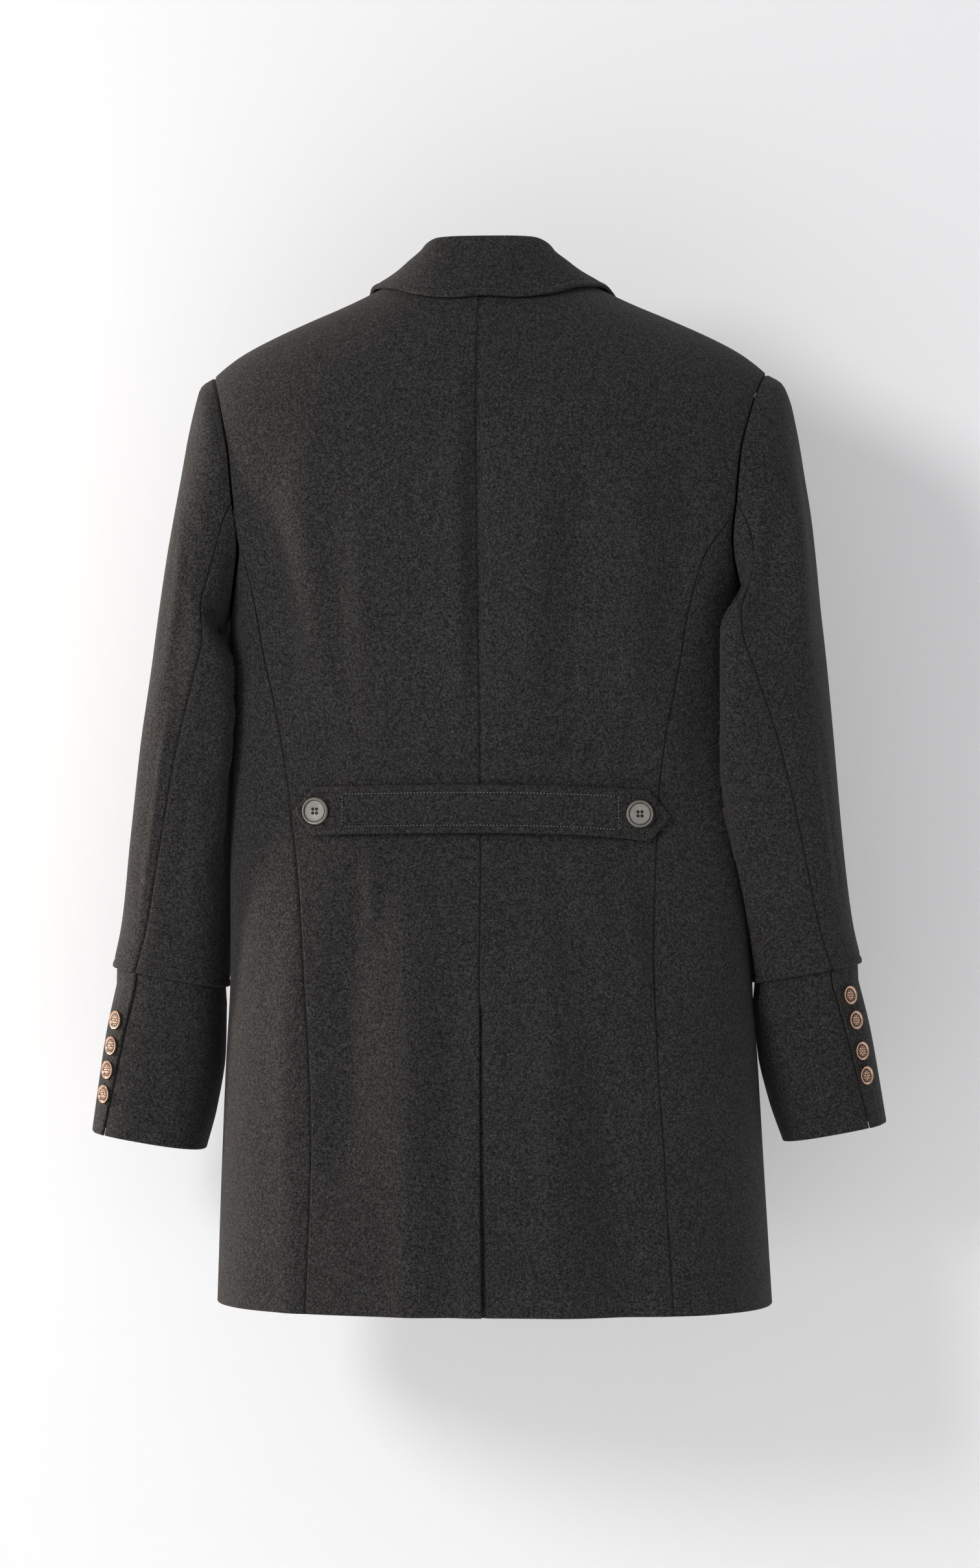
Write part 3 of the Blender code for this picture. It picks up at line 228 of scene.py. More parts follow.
# Soft folds round the body. Angle 0 is centre back and +90 the wearer's left side; a ridge has a
# positive height. drift is how far the fold moves round from its top to its bottom.
BODY_FOLDS = [
    # angle, top, bottom, width, height, drift
    (4.0, -0.060, -0.300, 6.0, -0.0030, -2.0),
    (-20.0, -0.150, -0.440, 8.0, 0.0035, 6.0),
    (-37.0, -0.120, -0.400, 9.0, -0.0030, 4.0),
    (50.0, -0.060, -0.430, 10.0, 0.0030, 0.0),
    (66.0, -0.150, -0.480, 9.0, -0.0045, -2.0),
    (-58.0, -0.100, -0.360, 9.0, -0.0035, 3.0),
    (47.0, -0.455, -0.800, 8.0, -0.0045, -6.0),
    (30.0, -0.480, -0.870, 9.0, 0.0035, -4.0),
    (13.0, -0.500, -0.800, 8.0, -0.0030, 2.0),
    (-26.0, -0.520, -0.870, 9.0, 0.0040, -2.0),
    (-47.0, -0.460, -0.640, 8.0, 0.0035, 2.0),
    (-44.0, -0.620, -0.880, 8.0, -0.0040, -3.0),
    (80.0, -0.480, -0.880, 12.0, -0.0050, 0.0),
    (-82.0, -0.480, -0.880, 12.0, -0.0045, 0.0),
    (116.0, -0.420, -0.880, 8.0, 0.0030, 2.0),
    (-116.0, -0.420, -0.880, 8.0, 0.0030, -2.0),
    (128.0, -0.360, -0.800, 8.0, -0.0035, 4.0),
    (-128.0, -0.380, -0.820, 8.0, -0.0035, -3.0),
]

# Sections of the sleeve from the armhole to its lower edge, seen from behind
SLEEVE = Table(
    ("along", "outer_x", "outer_z", "inner_x", "inner_z", "middle_y", "back", "front", "seam_deg"),
    [
        (0.00, 0.2365, -0.0730, 0.2215, -0.2810, 0.000, 0.0755, 0.0810, 90.0),
        (0.04, 0.2480, -0.0840, 0.2255, -0.2835, -0.001, 0.0800, 0.0810, 96.0),
        (0.11, 0.2575, -0.1195, 0.2268, -0.2890, -0.002, 0.0830, 0.0800, 104.0),
        (0.19, 0.2650, -0.1640, 0.2270, -0.2950, -0.003, 0.0840, 0.0800, 111.0),
        (0.28, 0.2730, -0.2120, 0.2270, -0.3030, -0.003, 0.0835, 0.0800, 115.0),
        (0.36, 0.2800, -0.2560, 0.2265, -0.3150, -0.004, 0.0820, 0.0790, 114.0),
        (0.45, 0.2865, -0.3050, 0.2262, -0.3400, -0.005, 0.0790, 0.0770, 106.0),
        (0.62, 0.2955, -0.3880, 0.2260, -0.4020, -0.008, 0.0710, 0.0720, 89.0),
        (0.80, 0.3045, -0.4760, 0.2255, -0.4830, -0.015, 0.0635, 0.0660, 75.0),
        (0.92, 0.3128, -0.5390, 0.2250, -0.5520, -0.022, 0.0585, 0.0615, 66.0),
        (1.00, 0.3210, -0.5750, 0.2260, -0.5930, -0.027, 0.0565, 0.0595, 60.0),
    ],
)

# Sections of the cuff below the sleeve's edge
CUFF = Table(
    ("along", "outer_x", "outer_z", "inner_x", "inner_z", "middle_y", "back", "front", "seam_deg"),
    [
        (0.0, 0.3180, -0.5900, 0.2290, -0.6080, -0.029, 0.0535, 0.0562, 57.0),
        (0.35, 0.3278, -0.6300, 0.2305, -0.6480, -0.034, 0.0540, 0.0565, 53.0),
        (0.7, 0.3360, -0.6760, 0.2385, -0.6930, -0.040, 0.0545, 0.0565, 49.0),
        (1.0, 0.3420, -0.7125, 0.2490, -0.7290, -0.045, 0.0545, 0.0560, 46.0),
    ],
)
CUFF_OVERLAP = 0.018

# A sleeve's section is a squared ellipse: the power of its back half and of its front half
SLEEVE_BACK_POWER = 2.5
SLEEVE_FRONT_POWER = 2.2

# How far each sleeve's lower end hangs from those sections: its outer side out, its inner side
# out, all of it down, how much lower still its hem is, and how far the cuff's inner side flares.
# 1 is the wearer's left.
SLEEVE_HANG = {1: (0.0075, 0.0025, -0.0045, -0.0055, 0.0), -1: (-0.0035, -0.0055, 0.0, 0.0, 0.0062)}
HEAD_OUT = {1: 0.0, -1: 0.0045}

# The sleeves press against the body: the angle, start, end, width and size of that bulge
PRESS = {-1: (140.0, 0.06, 1.08, 44.0, 0.046), 1: (150.0, 0.20, 1.0, 38.0, 0.022)}
PRESS_CLEAR = 0.0085
HEM_CLEAR = 0.0026

# Folds of each sleeve: angle round the sleeve, place along it, and size. 1 is the wearer's left.
SLEEVE_FOLDS = {
    1: [
        # angle, start, end, width, height, drift
        (62.0, 0.10, 0.62, 16.0, -0.0030, 6.0),
        (30.0, 0.45, 0.95, 18.0, 0.0025, 8.0),
        (125.0, 0.40, 0.75, 16.0, -0.0030, 0.0),
        (172.0, 0.44, 0.64, 24.0, 0.0055, 0.0),
        (300.0, 0.35, 0.80, 20.0, -0.0030, 0.0),
    ],
    -1: [
        (58.0, 0.08, 0.42, 15.0, -0.0055, 24.0),
        (34.0, 0.12, 0.55, 15.0, 0.0030, 20.0),
        (128.0, 0.45, 0.85, 16.0, -0.0030, 0.0),
        (300.0, 0.35, 0.80, 20.0, -0.0030, 0.0),
    ],
}

# The collar's crest and its outer edge, from centre back (0) to the gorge (1). The edge lies on the body.
COLLAR = Table(
    ("t", "crest_x", "crest_y", "crest_z", "edge_x", "edge_y"),
    [
        (0.0, 0.0000, 0.0515, 0.0375, 0.000, 0.0755),
        (1 / 7, 0.0200, 0.0505, 0.0375, 0.0265, 0.0735),
        (2 / 7, 0.0395, 0.0450, 0.0370, 0.0530, 0.0660),
        (3 / 7, 0.0520, 0.0310, 0.0325, 0.0780, 0.0460),
        (4 / 7, 0.0590, 0.0060, 0.0225, 0.0970, 0.0150),
        (5 / 7, 0.0, 0.0, 0.0, 0.1035, -0.0160),
        (6 / 7, 0.0, 0.0, 0.0, 0.1100, -0.0395),
        (1.0, 0.0, 0.0, 0.0, 0.1160, -0.0590),
    ],
)
FALL_ROWS = 4

# Lapel, seen from the front on the wearer's left side
LAPEL_TIP = (0.145, -0.078)
LAPEL_START_WIDTH = 0.006
LAPEL_BELLY = 0.007
LAPEL_ROLL_R = 0.0014
LAPEL_COLS = 5
LAPEL_REST = 0.0020


def smoothstep(low, high, at):
    s = np.clip((np.asarray(at, float) - low) / (high - low), 0, 1)
    return s * s * (3 - 2 * s)


def unit(vectors):
    return vectors / np.maximum(np.linalg.norm(vectors, axis=-1, keepdims=True), 1e-12)


def stack(x, y, z):
    x, y, z = np.broadcast_arrays(x, y, z)
    return np.stack([x, y, z], axis=-1).astype(float)


def mirror(side):
    """What points and directions of the wearer's left half are multiplied by on this side."""
    return np.array([side, 1.0, 1.0])


def round_start(y):
    """The level where the shoulder starts to round off, and the power of that rounding."""
    return np.where(y >= 0, BLADE_Z, CHEST_Z), np.where(y >= 0, BACK_ROUND, FRONT_ROUND)


def depth_at(x, z, back):
    """How far the form reaches from the shoulder's plane at this x and z."""
    a, m = BODY.read("half_width", z), BODY.read("power", z)
    d = BODY.read("back" if back else "front", z)
    start, p = round_start(1.0 if back else -1.0)
    side = np.clip(1 - np.abs(x / a) ** m, 0, 1) ** (1 / m)
    q = np.clip((z - start) / (RIDGE.read("z", np.abs(x)) - start), 0, 1)
    return d * side * (1 - q**p) ** (1 / p)


def width_at(y, z):
    """The form's half width at this y and z, below the blades and the chest."""
    a, m = BODY.read("half_width", z), BODY.read("power", z)
    d = np.where(y >= 0, BODY.read("back", z), BODY.read("front", z))
    return a * np.clip(1 - np.abs(y / d) ** m, 0, 1) ** (1 / m)


def top_z(x, y):
    """The height of the shoulders' upper surface over this x and y."""
    start, p = round_start(y)
    a, m = BODY.read("half_width", 0.0), BODY.read("power", 0.0)
    d = np.where(y >= 0, BODY.read("back", 0.0), BODY.read("front", 0.0))
    side = np.clip(1 - np.abs(x / a) ** m, 0, 1) ** (1 / m)
    share = np.clip(np.abs(y) / (d * side), 0, 1)
    return start + (RIDGE.read("z", np.abs(x)) - start) * (1 - share**p) ** (1 / p)


def level(points, upper):
    """Grows outwards through 1 on the form. upper says which points lie on the rounded shoulder."""
    x, y, z = points[..., 0], points[..., 1], points[..., 2]
    a, m = BODY.read("half_width", z), BODY.read("power", z)
    d = np.where(y >= 0, BODY.read("back", z), BODY.read("front", z))
    start, p = round_start(y)
    side = np.clip(1 - np.abs(x / a) ** m, 1e-6, 1) ** (1 / m)
    q = np.clip((z - start) / (RIDGE.read("z", np.abs(x)) - start), 0, None)
    return np.where(upper, (np.abs(y) / (d * side)) ** p + q**p, np.abs(x / a) ** m + np.abs(y / d) ** m)


def form_normal(points):
    """The form's outward direction and how fast level grows along it."""
    upper = points[..., 2] > round_start(points[..., 1])[0] + 1e-6
    h = 1e-4
    slope = np.zeros_like(points)
    for k in range(3):
        move = np.zeros(3)
        move[k] = h
        slope[..., k] = (level(points + move, upper) - level(points - move, upper)) / (2 * h)
    return unit(slope), np.linalg.norm(slope, axis=-1)


def body_fold(points, folds=None):
    """The height of the soft folds at these points, with x signed."""
    angle = np.degrees(np.arctan2(points[..., 0], points[..., 1]))
    z = points[..., 2]
    height = np.zeros_like(z)
    for centre, top, bottom, width, rise, drift in folds or BODY_FOLDS:
        down = np.clip((top - z) / (top - bottom), 0, 1)
        away = (angle - centre - drift * down + 180) % 360 - 180
        reach = (top - bottom) * 0.35
        fade = smoothstep(top + 0.002, top - reach, z)
        if bottom > HEM_Z:
            fade = fade * smoothstep(bottom, bottom + reach, z)
        height = height + rise * np.exp(-((away / width) ** 2)) * fade
    return height


def drape(points, side, lift=0.0):
    """(outer, inner, normal) for points on the plain form of the wearer's left half, on the given side."""
    normal, _ = form_normal(points)
    flip = mirror(side)
    points, normal = points * flip, normal * flip
    outer = points + normal * np.asarray(body_fold(points) + lift)[..., None]
    outer[..., 0] += BODY.read("sway", points[..., 2])
    return outer, outer - normal * CLOTH, normal


def shares_along(curve):
    """The share of a curve's length at each of its points."""
    steps = np.linalg.norm(np.diff(curve, axis=0), axis=1)
    return np.concatenate([[0], np.cumsum(steps)]) / steps.sum()


def along_row(curve, shares):
    """Points at these shares of the length of a curve given by many points."""
    far = shares_along(curve)
    return np.stack([np.interp(shares, far, curve[:, k]) for k in range(3)], axis=-1)


def lower_shares():
    return np.linspace(0, 1, LOWER_ROWS + 1)


def princess_at(z, side):
    """How far the princess seam is from the middle on this side."""
    return BODY.read("princess_x", z) + side * TWIST.read("princess", z)


def back_form(shares_across, lower, arcs, side=1):
    """The back on the plain form: rows from the hem up to the neck and shoulder seam."""
    rows = []
    for share in lower:
        z = HEM_Z + share * (BLADE_Z - HEM_Z)
        middle = side * TWIST.read("centre", z)
        x = middle + shares_across * (princess_at(z, side) - middle)
        rows.append(stack(x, depth_at(x, z, True), z))
    for arc in arcs:
        q = math.sin(arc)
        middle = side * TWIST.read("centre", BLADE_Z + q * (NECKLINE.read("z", 0.0) - BLADE_Z))
        armhole_x = BACK_ARMHOLE.read("x", BLADE_Z + q * (SHOULDER_TIP_Z - BLADE_Z))
        x = middle + shares_across * (armhole_x - middle)
        top = np.where(x < NECK_SIDE_X, NECKLINE.read("z", np.abs(x)), RIDGE.read("z", x))
        z = BLADE_Z + q * (top - BLADE_Z)
        y = depth_at(x, z, True)
        if q > 1 - 1e-9:
            y = np.where(x >= NECK_SIDE_X - 1e-9, 0.0, y)
        rows.append(stack(x, y, z))
    return np.array(rows)


def back_shares():
    neck = NECK_SIDE_X / SHOULDER_TIP_X
    return np.concatenate([np.linspace(0, neck, NECK_COLS + 1), np.linspace(neck, 1, SHOULDER_COLS + 1)[1:]])


def armhole(angle):
    """The armhole's points on the plain form, at angles in degrees round it."""
    deg = np.atleast_1d(np.asarray(angle, float)) % FULL_TURN_DEG
    q = np.cos(np.radians(np.minimum(deg, BACK_SEAM_DEG)))
    x = BACK_ARMHOLE.read("x", BLADE_Z + q * (SHOULDER_TIP_Z - BLADE_Z))
    z = BLADE_Z + q * (RIDGE.read("z", x) - BLADE_Z)
    back = stack(x, np.where(deg == 0, 0.0, depth_at(x, z, True)), z)
    turn = np.radians(np.clip(deg, BACK_SEAM_DEG, UNDERARM_DEG) - BACK_SEAM_DEG)
    y = float(depth_at(BODY.read("princess_x", BLADE_Z), BLADE_Z, True)) * np.cos(turn)
    z = BLADE_Z + (UNDERARM_Z - BLADE_Z) * np.sin(turn)
    under = stack(width_at(y, z), y, z)
    turn = np.clip((deg - UNDERARM_DEG) / (FRONT_SEAM_DEG - UNDERARM_DEG), 0, 1) * math.pi / 2
    y = float(BODY.read("front_seam_y", CHEST_Z)) * np.sin(turn)
    z = UNDERARM_Z + (CHEST_Z - UNDERARM_Z) * (1 - np.cos(turn))
    fore = stack(width_at(y, z), y, z)
    q = np.sin(np.clip((deg - FRONT_SEAM_DEG) / (FULL_TURN_DEG - FRONT_SEAM_DEG), 0, 1) * math.pi / 2)
    x = FRONT_ARMHOLE.read("x", CHEST_Z + q * (SHOULDER_TIP_Z - CHEST_Z))
    x = x + (float(width_at(BODY.read("front_seam_y", CHEST_Z), CHEST_Z)) - 0.2045) * (1 - q)
    z = CHEST_Z + q * (RIDGE.read("z", x) - CHEST_Z)
    front = stack(x, -depth_at(x, z, False), z)
    picks = [deg <= BACK_SEAM_DEG, deg <= UNDERARM_DEG, deg <= FRONT_SEAM_DEG]
    return np.select([pick[:, None] for pick in picks], [back, under, fore], front)


def side_form(angles, lower, side=1):
    """The side panel on the plain form, from the princess seam round to the front side seam."""
    top = armhole(angles)
    share = (angles - angles[0]) / (angles[-1] - angles[0])

    def straight(z):
        back_y = depth_at(princess_at(z, side), z, True)
        front_y = BODY.read("front_seam_y", z)
        return back_y + (front_y - back_y) * share

    correction = top[:, 1] - straight(top[:, 2])
    rows = []
    for v in lower:
        z = HEM_Z + v * (top[:, 2] - HEM_Z)
        y = straight(z) + smoothstep(0.55, 1.0, v) * correction
        rows.append(stack(width_at(y, z), y, z))
    return np.array(rows)


def roll_line(qs, lap_x):
    """x where a straight roll line, seen from the front, crosses each row q of the rounded chest."""
    t = np.linspace(0, 1, 200)
    x = -lap_x + t * (NECK_SIDE_X + lap_x)
    z = CHEST_Z + t * (float(RIDGE.read("z", NECK_SIDE_X)) - CHEST_Z)
    q = (z - CHEST_Z) / (RIDGE.read("z", np.abs(x)) - CHEST_Z)
    return np.interp(qs, q, x)


def front_form(shares_across, lower, arcs):
    """A front on the plain form, from the side seam and armhole (first column) to its edge."""
    edge_x = -LAP_X
    seam_x = float(width_at(BODY.read("front_seam_y", CHEST_Z), CHEST_Z))
    straight = seam_x + (edge_x - seam_x) * np.linspace(0, 1, 80)
    top_curve = stack(straight, -depth_at(straight, CHEST_Z, False), CHEST_Z)
    top_shares = np.interp(shares_across, np.linspace(0, 1, 80), shares_along(top_curve))
    rows = []
    for v in lower:
        z = HEM_Z + v * (CHEST_Z - HEM_Z)
        y0 = float(BODY.read("front_seam_y", z))
        d, a, m = (float(BODY.read(name, z)) for name in ("front", "half_width", "power"))
        start = math.asin(min(1.0, (abs(y0) / d) ** (m / 2)))
        end = math.pi - math.acos(min(1.0, (LAP_X / a) ** (m / 2)))
        turn = np.linspace(start, end, 160)
        x = np.sign(np.cos(turn)) * a * np.abs(np.cos(turn)) ** (2 / m)
        curve = stack(x, -d * np.abs(np.sin(turn)) ** (2 / m), z)
        rows.append(along_row(curve, shares_across + (top_shares - shares_across) * v))
    for arc in arcs:
        q = math.sin(arc)
        deg = FRONT_SEAM_DEG + (FULL_TURN_DEG - FRONT_SEAM_DEG) * arc / (math.pi / 2)
        side = armhole([deg if q < 1 - 1e-9 else 0.0])[0]
        x = side[0] + (float(roll_line(q, LAP_X)) - side[0]) * shares_across
        z = CHEST_Z + q * (RIDGE.read("z", np.abs(x)) - CHEST_Z)
        y = 0.0 * x if q > 1 - 1e-9 else -depth_at(x, z, False)
        rows.append(stack(x, y, z))
    return np.array(rows)


def lap_lift(points):
    """How far the overlapping front stands off the one under it."""
    x, z = points[..., 0], points[..., 2]
    q = np.clip((z - CHEST_Z) / (RIDGE.read("z", np.abs(x)) - CHEST_Z), 0, 1)
    under_edge = -roll_line(q, LAP_X)
    return (CLOTH + LAP_GAP) * smoothstep(under_edge + LAP_LIFT_RUN, under_edge + 0.010, x)


def ring(table, along, angle):
    """Points of a sleeve's section. Angle 0 is the outer side, 90 the back and 180 the inner side."""
    turn = np.radians(angle)
    outer = stack(table.read("outer_x", along), 0.0, table.read("outer_z", along))
    inner = stack(table.read("inner_x", along), 0.0, table.read("inner_z", along))
    middle, reach = (outer + inner) / 2, (outer - inner) / 2
    middle[..., 1] = table.read("middle_y", along)
    c, s = np.cos(turn), np.sin(turn)
    depth = np.where(s >= 0, table.read("back", along), -table.read("front", along))
    power = np.where(s >= 0, SLEEVE_BACK_POWER, SLEEVE_FRONT_POWER)
    points = middle + reach * c[..., None]
    points[..., 1] += depth * np.clip(1 - np.abs(c) ** power, 0, 1) ** (1 / power)
    return points


def seam_angles(base, table, along):
    """Angles at a section: the back seam drifts outwards down the sleeve, and the rest follows."""
    seam = float(table.read("seam_deg", along))
    plain = [0, BACK_SEAM_DEG, FRONT_SEAM_DEG, FULL_TURN_DEG]
    return np.interp(base, plain, [0, seam, FRONT_SEAM_DEG, FULL_TURN_DEG])


def hang_of(side, angles, lower_share):
    """How far this sleeve's lower end is moved from its sections at these angles."""
    outer, inner, down, lower, flare = SLEEVE_HANG[side]
    inner = inner + flare * lower_share
    out = inner + (outer - inner) * (1 + np.cos(np.radians(angles))) / 2
    return stack(out, 0.0, down + lower * lower_share)


def sleeve_form(side, along, base):
    """Points of the sleeve at one place along it, blended from the armhole's own outline."""
    angles = seam_angles(base, SLEEVE, along)
    points = ring(SLEEVE, along, angles)
    fade = 1 - smoothstep(0.0, 0.28, along)
    if fade > 0:
        points = points + fade * (armhole(base) - ring(SLEEVE, 0.0, base))
    points = points + hang_of(side, angles, 0.0) * smoothstep(0.3, 1.0, along)
    head = HEAD_OUT[side] * smoothstep(0.0, 0.08, along) * (1 - smoothstep(0.22, 0.42, along))
    points[:, 0] += head * (1 + np.cos(np.radians(angles))) / 2
    points = points + press_of(side, along, angles)
    need = PRESS_CLEAR + (HEM_CLEAR - PRESS_CLEAR) * float(smoothstep(0.6, 1.0, along))
    return held_off(points, angles, need * float(smoothstep(0.0, 0.2, along)), along > 0)


def press_of(side, along, angles):
    """How far a sleeve that presses against the body is pushed in and back at this place along it."""
    centre, start, end, width, size = PRESS[side]
    reach = smoothstep(start, start + 0.22, along) * (1 - smoothstep(end - 0.5, end, along))
    press = size * reach * np.exp(-(((angles - centre) / width) ** 2))
    return np.array([-0.7, 0.7, 0.0]) * press[..., None]


def held_off(points, angles, need, wanted=True):
    """The inner side of a sleeve's section, moved until it stands clear of the body."""
    inner_side = smoothstep(105.0, 130.0, angles) * (1 - smoothstep(235.0, 260.0, angles))
    return np.where((inner_side > 0)[..., None] & wanted, clear_of_body(points, need * inner_side), points)


def cuff_ring(side, along, angles):
    """Points of a cuff at angles of its own section."""
    angles = np.asarray(angles, float)
    points = ring(CUFF, along, angles) + hang_of(side, angles, float(along))
    points = points + press_of(side, 1.0 + 0.25 * along, angles)
    return held_off(points, angles, HEM_CLEAR)


def cuff_form(side, along, base):
    return cuff_ring(side, along, seam_angles(base, CUFF, along))


def grid_normals(at, along, base):
    """Outward normals of a sleeve surface given by at(along, base)."""
    h, d = 1e-3, 0.5
    low, high = max(along - h, 0.0), min(along + h, 1.0)
    down = at(high, base) - at(low, base)
    round_it = at(along, (base + d) % FULL_TURN_DEG) - at(along, (base - d) % FULL_TURN_DEG)
    return unit(np.cross(down, round_it))


def sleeve_fold(side, along, base, folds):
    height = np.zeros(len(base))
    for centre, start, end, width, rise, drift in folds[side]:
        share = np.clip((along - start) / (end - start), 0, 1)
        away = (base - centre - drift * share + 180) % 360 - 180
        reach = (end - start) * 0.35
        fade = smoothstep(start, start + reach, along) * (1 - smoothstep(end - reach, end, along))
        height += rise * np.exp(-((away / width) ** 2)) * fade
    return height


def clear_of_body(points, need):
    """Moves points out until they stand this far off the plain form."""
    points = points.copy()
    for _ in range(4):
        normal, slope = form_normal(points)
        upper = points[..., 2] > round_start(points[..., 1])[0]
        away = (level(points, upper) - 1) / np.maximum(slope, 1e-9)
        points += normal * np.clip(need - away, 0, None)[..., None]
    return points


def collar_half():
    """The collar's two faces over the wearer's left half: rows from its seam over the crest to its edge."""
    arcs = np.linspace(0, math.pi / 2, BACK_ARC_ROWS + 1)[1:]
    back, _, back_normal = drape(back_form(back_shares(), lower_shares(), arcs), 1)
    arcs = np.linspace(0, math.pi / 2, FRONT_ARC_ROWS + 1)[1:]
    front, _, front_normal = drape(front_form(np.linspace(0, 1, FRONT_COLS + 1), lower_shares(), arcs), 1)
    seam = np.vstack([back[-1, : NECK_COLS + 1], front[-2 : -2 - GORGE_ROWS : -1, -1]])
    seam_normal = np.vstack([back_normal[-1, : NECK_COLS + 1], front_normal[-2 : -2 - GORGE_ROWS : -1, -1]])
    seam_normal[NECK_COLS] = unit(back_normal[-2, NECK_COLS] + front_normal[-2, -1])
    along = np.gradient(seam, axis=0)
    along[0] = (1.0, 0.0, 0.0)
    inward = unit(np.cross(along, seam_normal))
    count = len(seam)
    t = np.linspace(0, 1, count)
    crest = stack(*(COLLAR.read(name, t) for name in ("crest_x", "crest_y", "crest_z")))
    stand = crest[NECK_COLS] - seam[NECK_COLS]
    for k, share in zip(range(NECK_COLS + 1, count), STAND_FADE):
        crest[k] = seam[k] + stand * share + seam_normal[k] * ROLL_R
    edge = stack(COLLAR.read("edge_x", t), COLLAR.read("edge_y", t), 0.0)
    edge[:, 2] = top_z(edge[:, 0], edge[:, 1])
    edge_normal, _ = form_normal(edge)
    edge = edge + edge_normal * COLLAR_EDGE_GAP
    out = edge - crest
    out[:, 2] = 0.0
    out = unit(out)
    up = np.array([0.0, 0.0, 1.0]) + 0 * out
    low, high = seam + inward * SEAM_GAP, crest - out * ROLL_R
    stand_out = unit(high - low)
    stand_face = unit(np.cross(np.cross(stand_out, -out), stand_out))
    under = [low, (low + high) / 2, high, crest + up * ROLL_R, crest + out * ROLL_R]
    faces = [None, stand_face, -out, up, out]
    start = under[-1]
    line = unit(edge - start)
    lift = unit(np.cross(np.cross(line, up + out), line))
    for share in np.linspace(0, 1, FALL_ROWS + 1)[1:]:
        point = start + (edge - start) * share + lift * COLLAR_BULGE * 4 * share * (1 - share)
        under.append(clear_of_body(point, COLLAR_EDGE_GAP * 0.95))
        faces.append(unit(lift + (out - lift) * max(0.0, 0.4 - share) + line * (share - 0.5) * 0.3))
    over = [seam - seam_normal * CLOTH + inward * SEAM_GAP]
    over += [point + face * COLLAR_CLOTH for point, face in zip(under[1:], faces[1:])]
    return np.array(over), np.array(under)


def lapel_grids(side):
    """(outer, inner) grids of a lapel: rows up the roll line, columns from the roll to its free edge."""
    shares = np.linspace(0, 1, FRONT_COLS + 1)
    arcs = np.linspace(0, math.pi / 2, FRONT_ARC_ROWS + 1)[1:]
    plain = front_form(shares, lower_shares(), arcs)[LOWER_ROWS : -GORGE_ROWS - 1]
    lift = lap_lift(plain) if side > 0 else 0.0
    panel, panel_in, normal = drape(plain, side, lift)
    edge, edge_in, edge_normal = panel[:, -1], panel_in[:, -1], normal[:, -1]
    out = unit(np.cross(np.gradient(edge, axis=0), edge_normal)) * -side
    roll = plain[:, -1]
    s = np.linspace(0, 1, len(roll))
    start = np.array([roll[0, 0] + LAPEL_START_WIDTH, roll[0, 2]])
    tip = np.array(LAPEL_TIP)
    across = unit(np.array([-(tip - start)[1], (tip - start)[0]])) * -1
    free = start + (tip - start) * s[:, None] + across * (LAPEL_BELLY * 4 * s * (1 - s))[:, None]
    if side > 0:
        first = roll[:, [0, 2]]
    else:
        over_edge = -roll[:, 0] + 2 * (LAPEL_ROLL_R + COLLAR_CLOTH)
        first = np.stack([np.maximum(roll[:, 0], over_edge), roll[:, 2]], axis=-1)
    flip = mirror(side)
    outer, inner = [], []
    if side > 0:
        inner = [edge + out * SEAM_GAP, edge + out * (SEAM_GAP + LAPEL_ROLL_R) + edge_normal * LAPEL_ROLL_R]
        outer = [edge_in + out * SEAM_GAP, inner[1] + out * COLLAR_CLOTH]
    for c in np.linspace(0, 1, LAPEL_COLS):
        x, z = (first + (free - first) * c).T
        point = stack(x, -depth_at(x, z, False), z)
        face, _ = form_normal(point)
        high = lap_lift(point) if side > 0 else 0.0
        _, _, face = drape(point, side)
        base, _, _ = drape(point, side, high)
        inner.append(base + face * (2 * LAPEL_ROLL_R if side > 0 else LAPEL_REST))
        outer.append(inner[-1] + face * COLLAR_CLOTH)
    return np.stack(outer, axis=1), np.stack(inner, axis=1)


# Finer cloth than the solids: edges, seams and stitch lines
SEAM_DIP = 0.0019
SEAM_REACH = 0.0010
SEW_IN = 0.0065
NEAR = (0.0003, 0.0007, 0.0013, 0.0022, 0.0036)
STITCH = 0.0011
STITCH_SPACE = 0.0017
THREAD_R = 0.00032

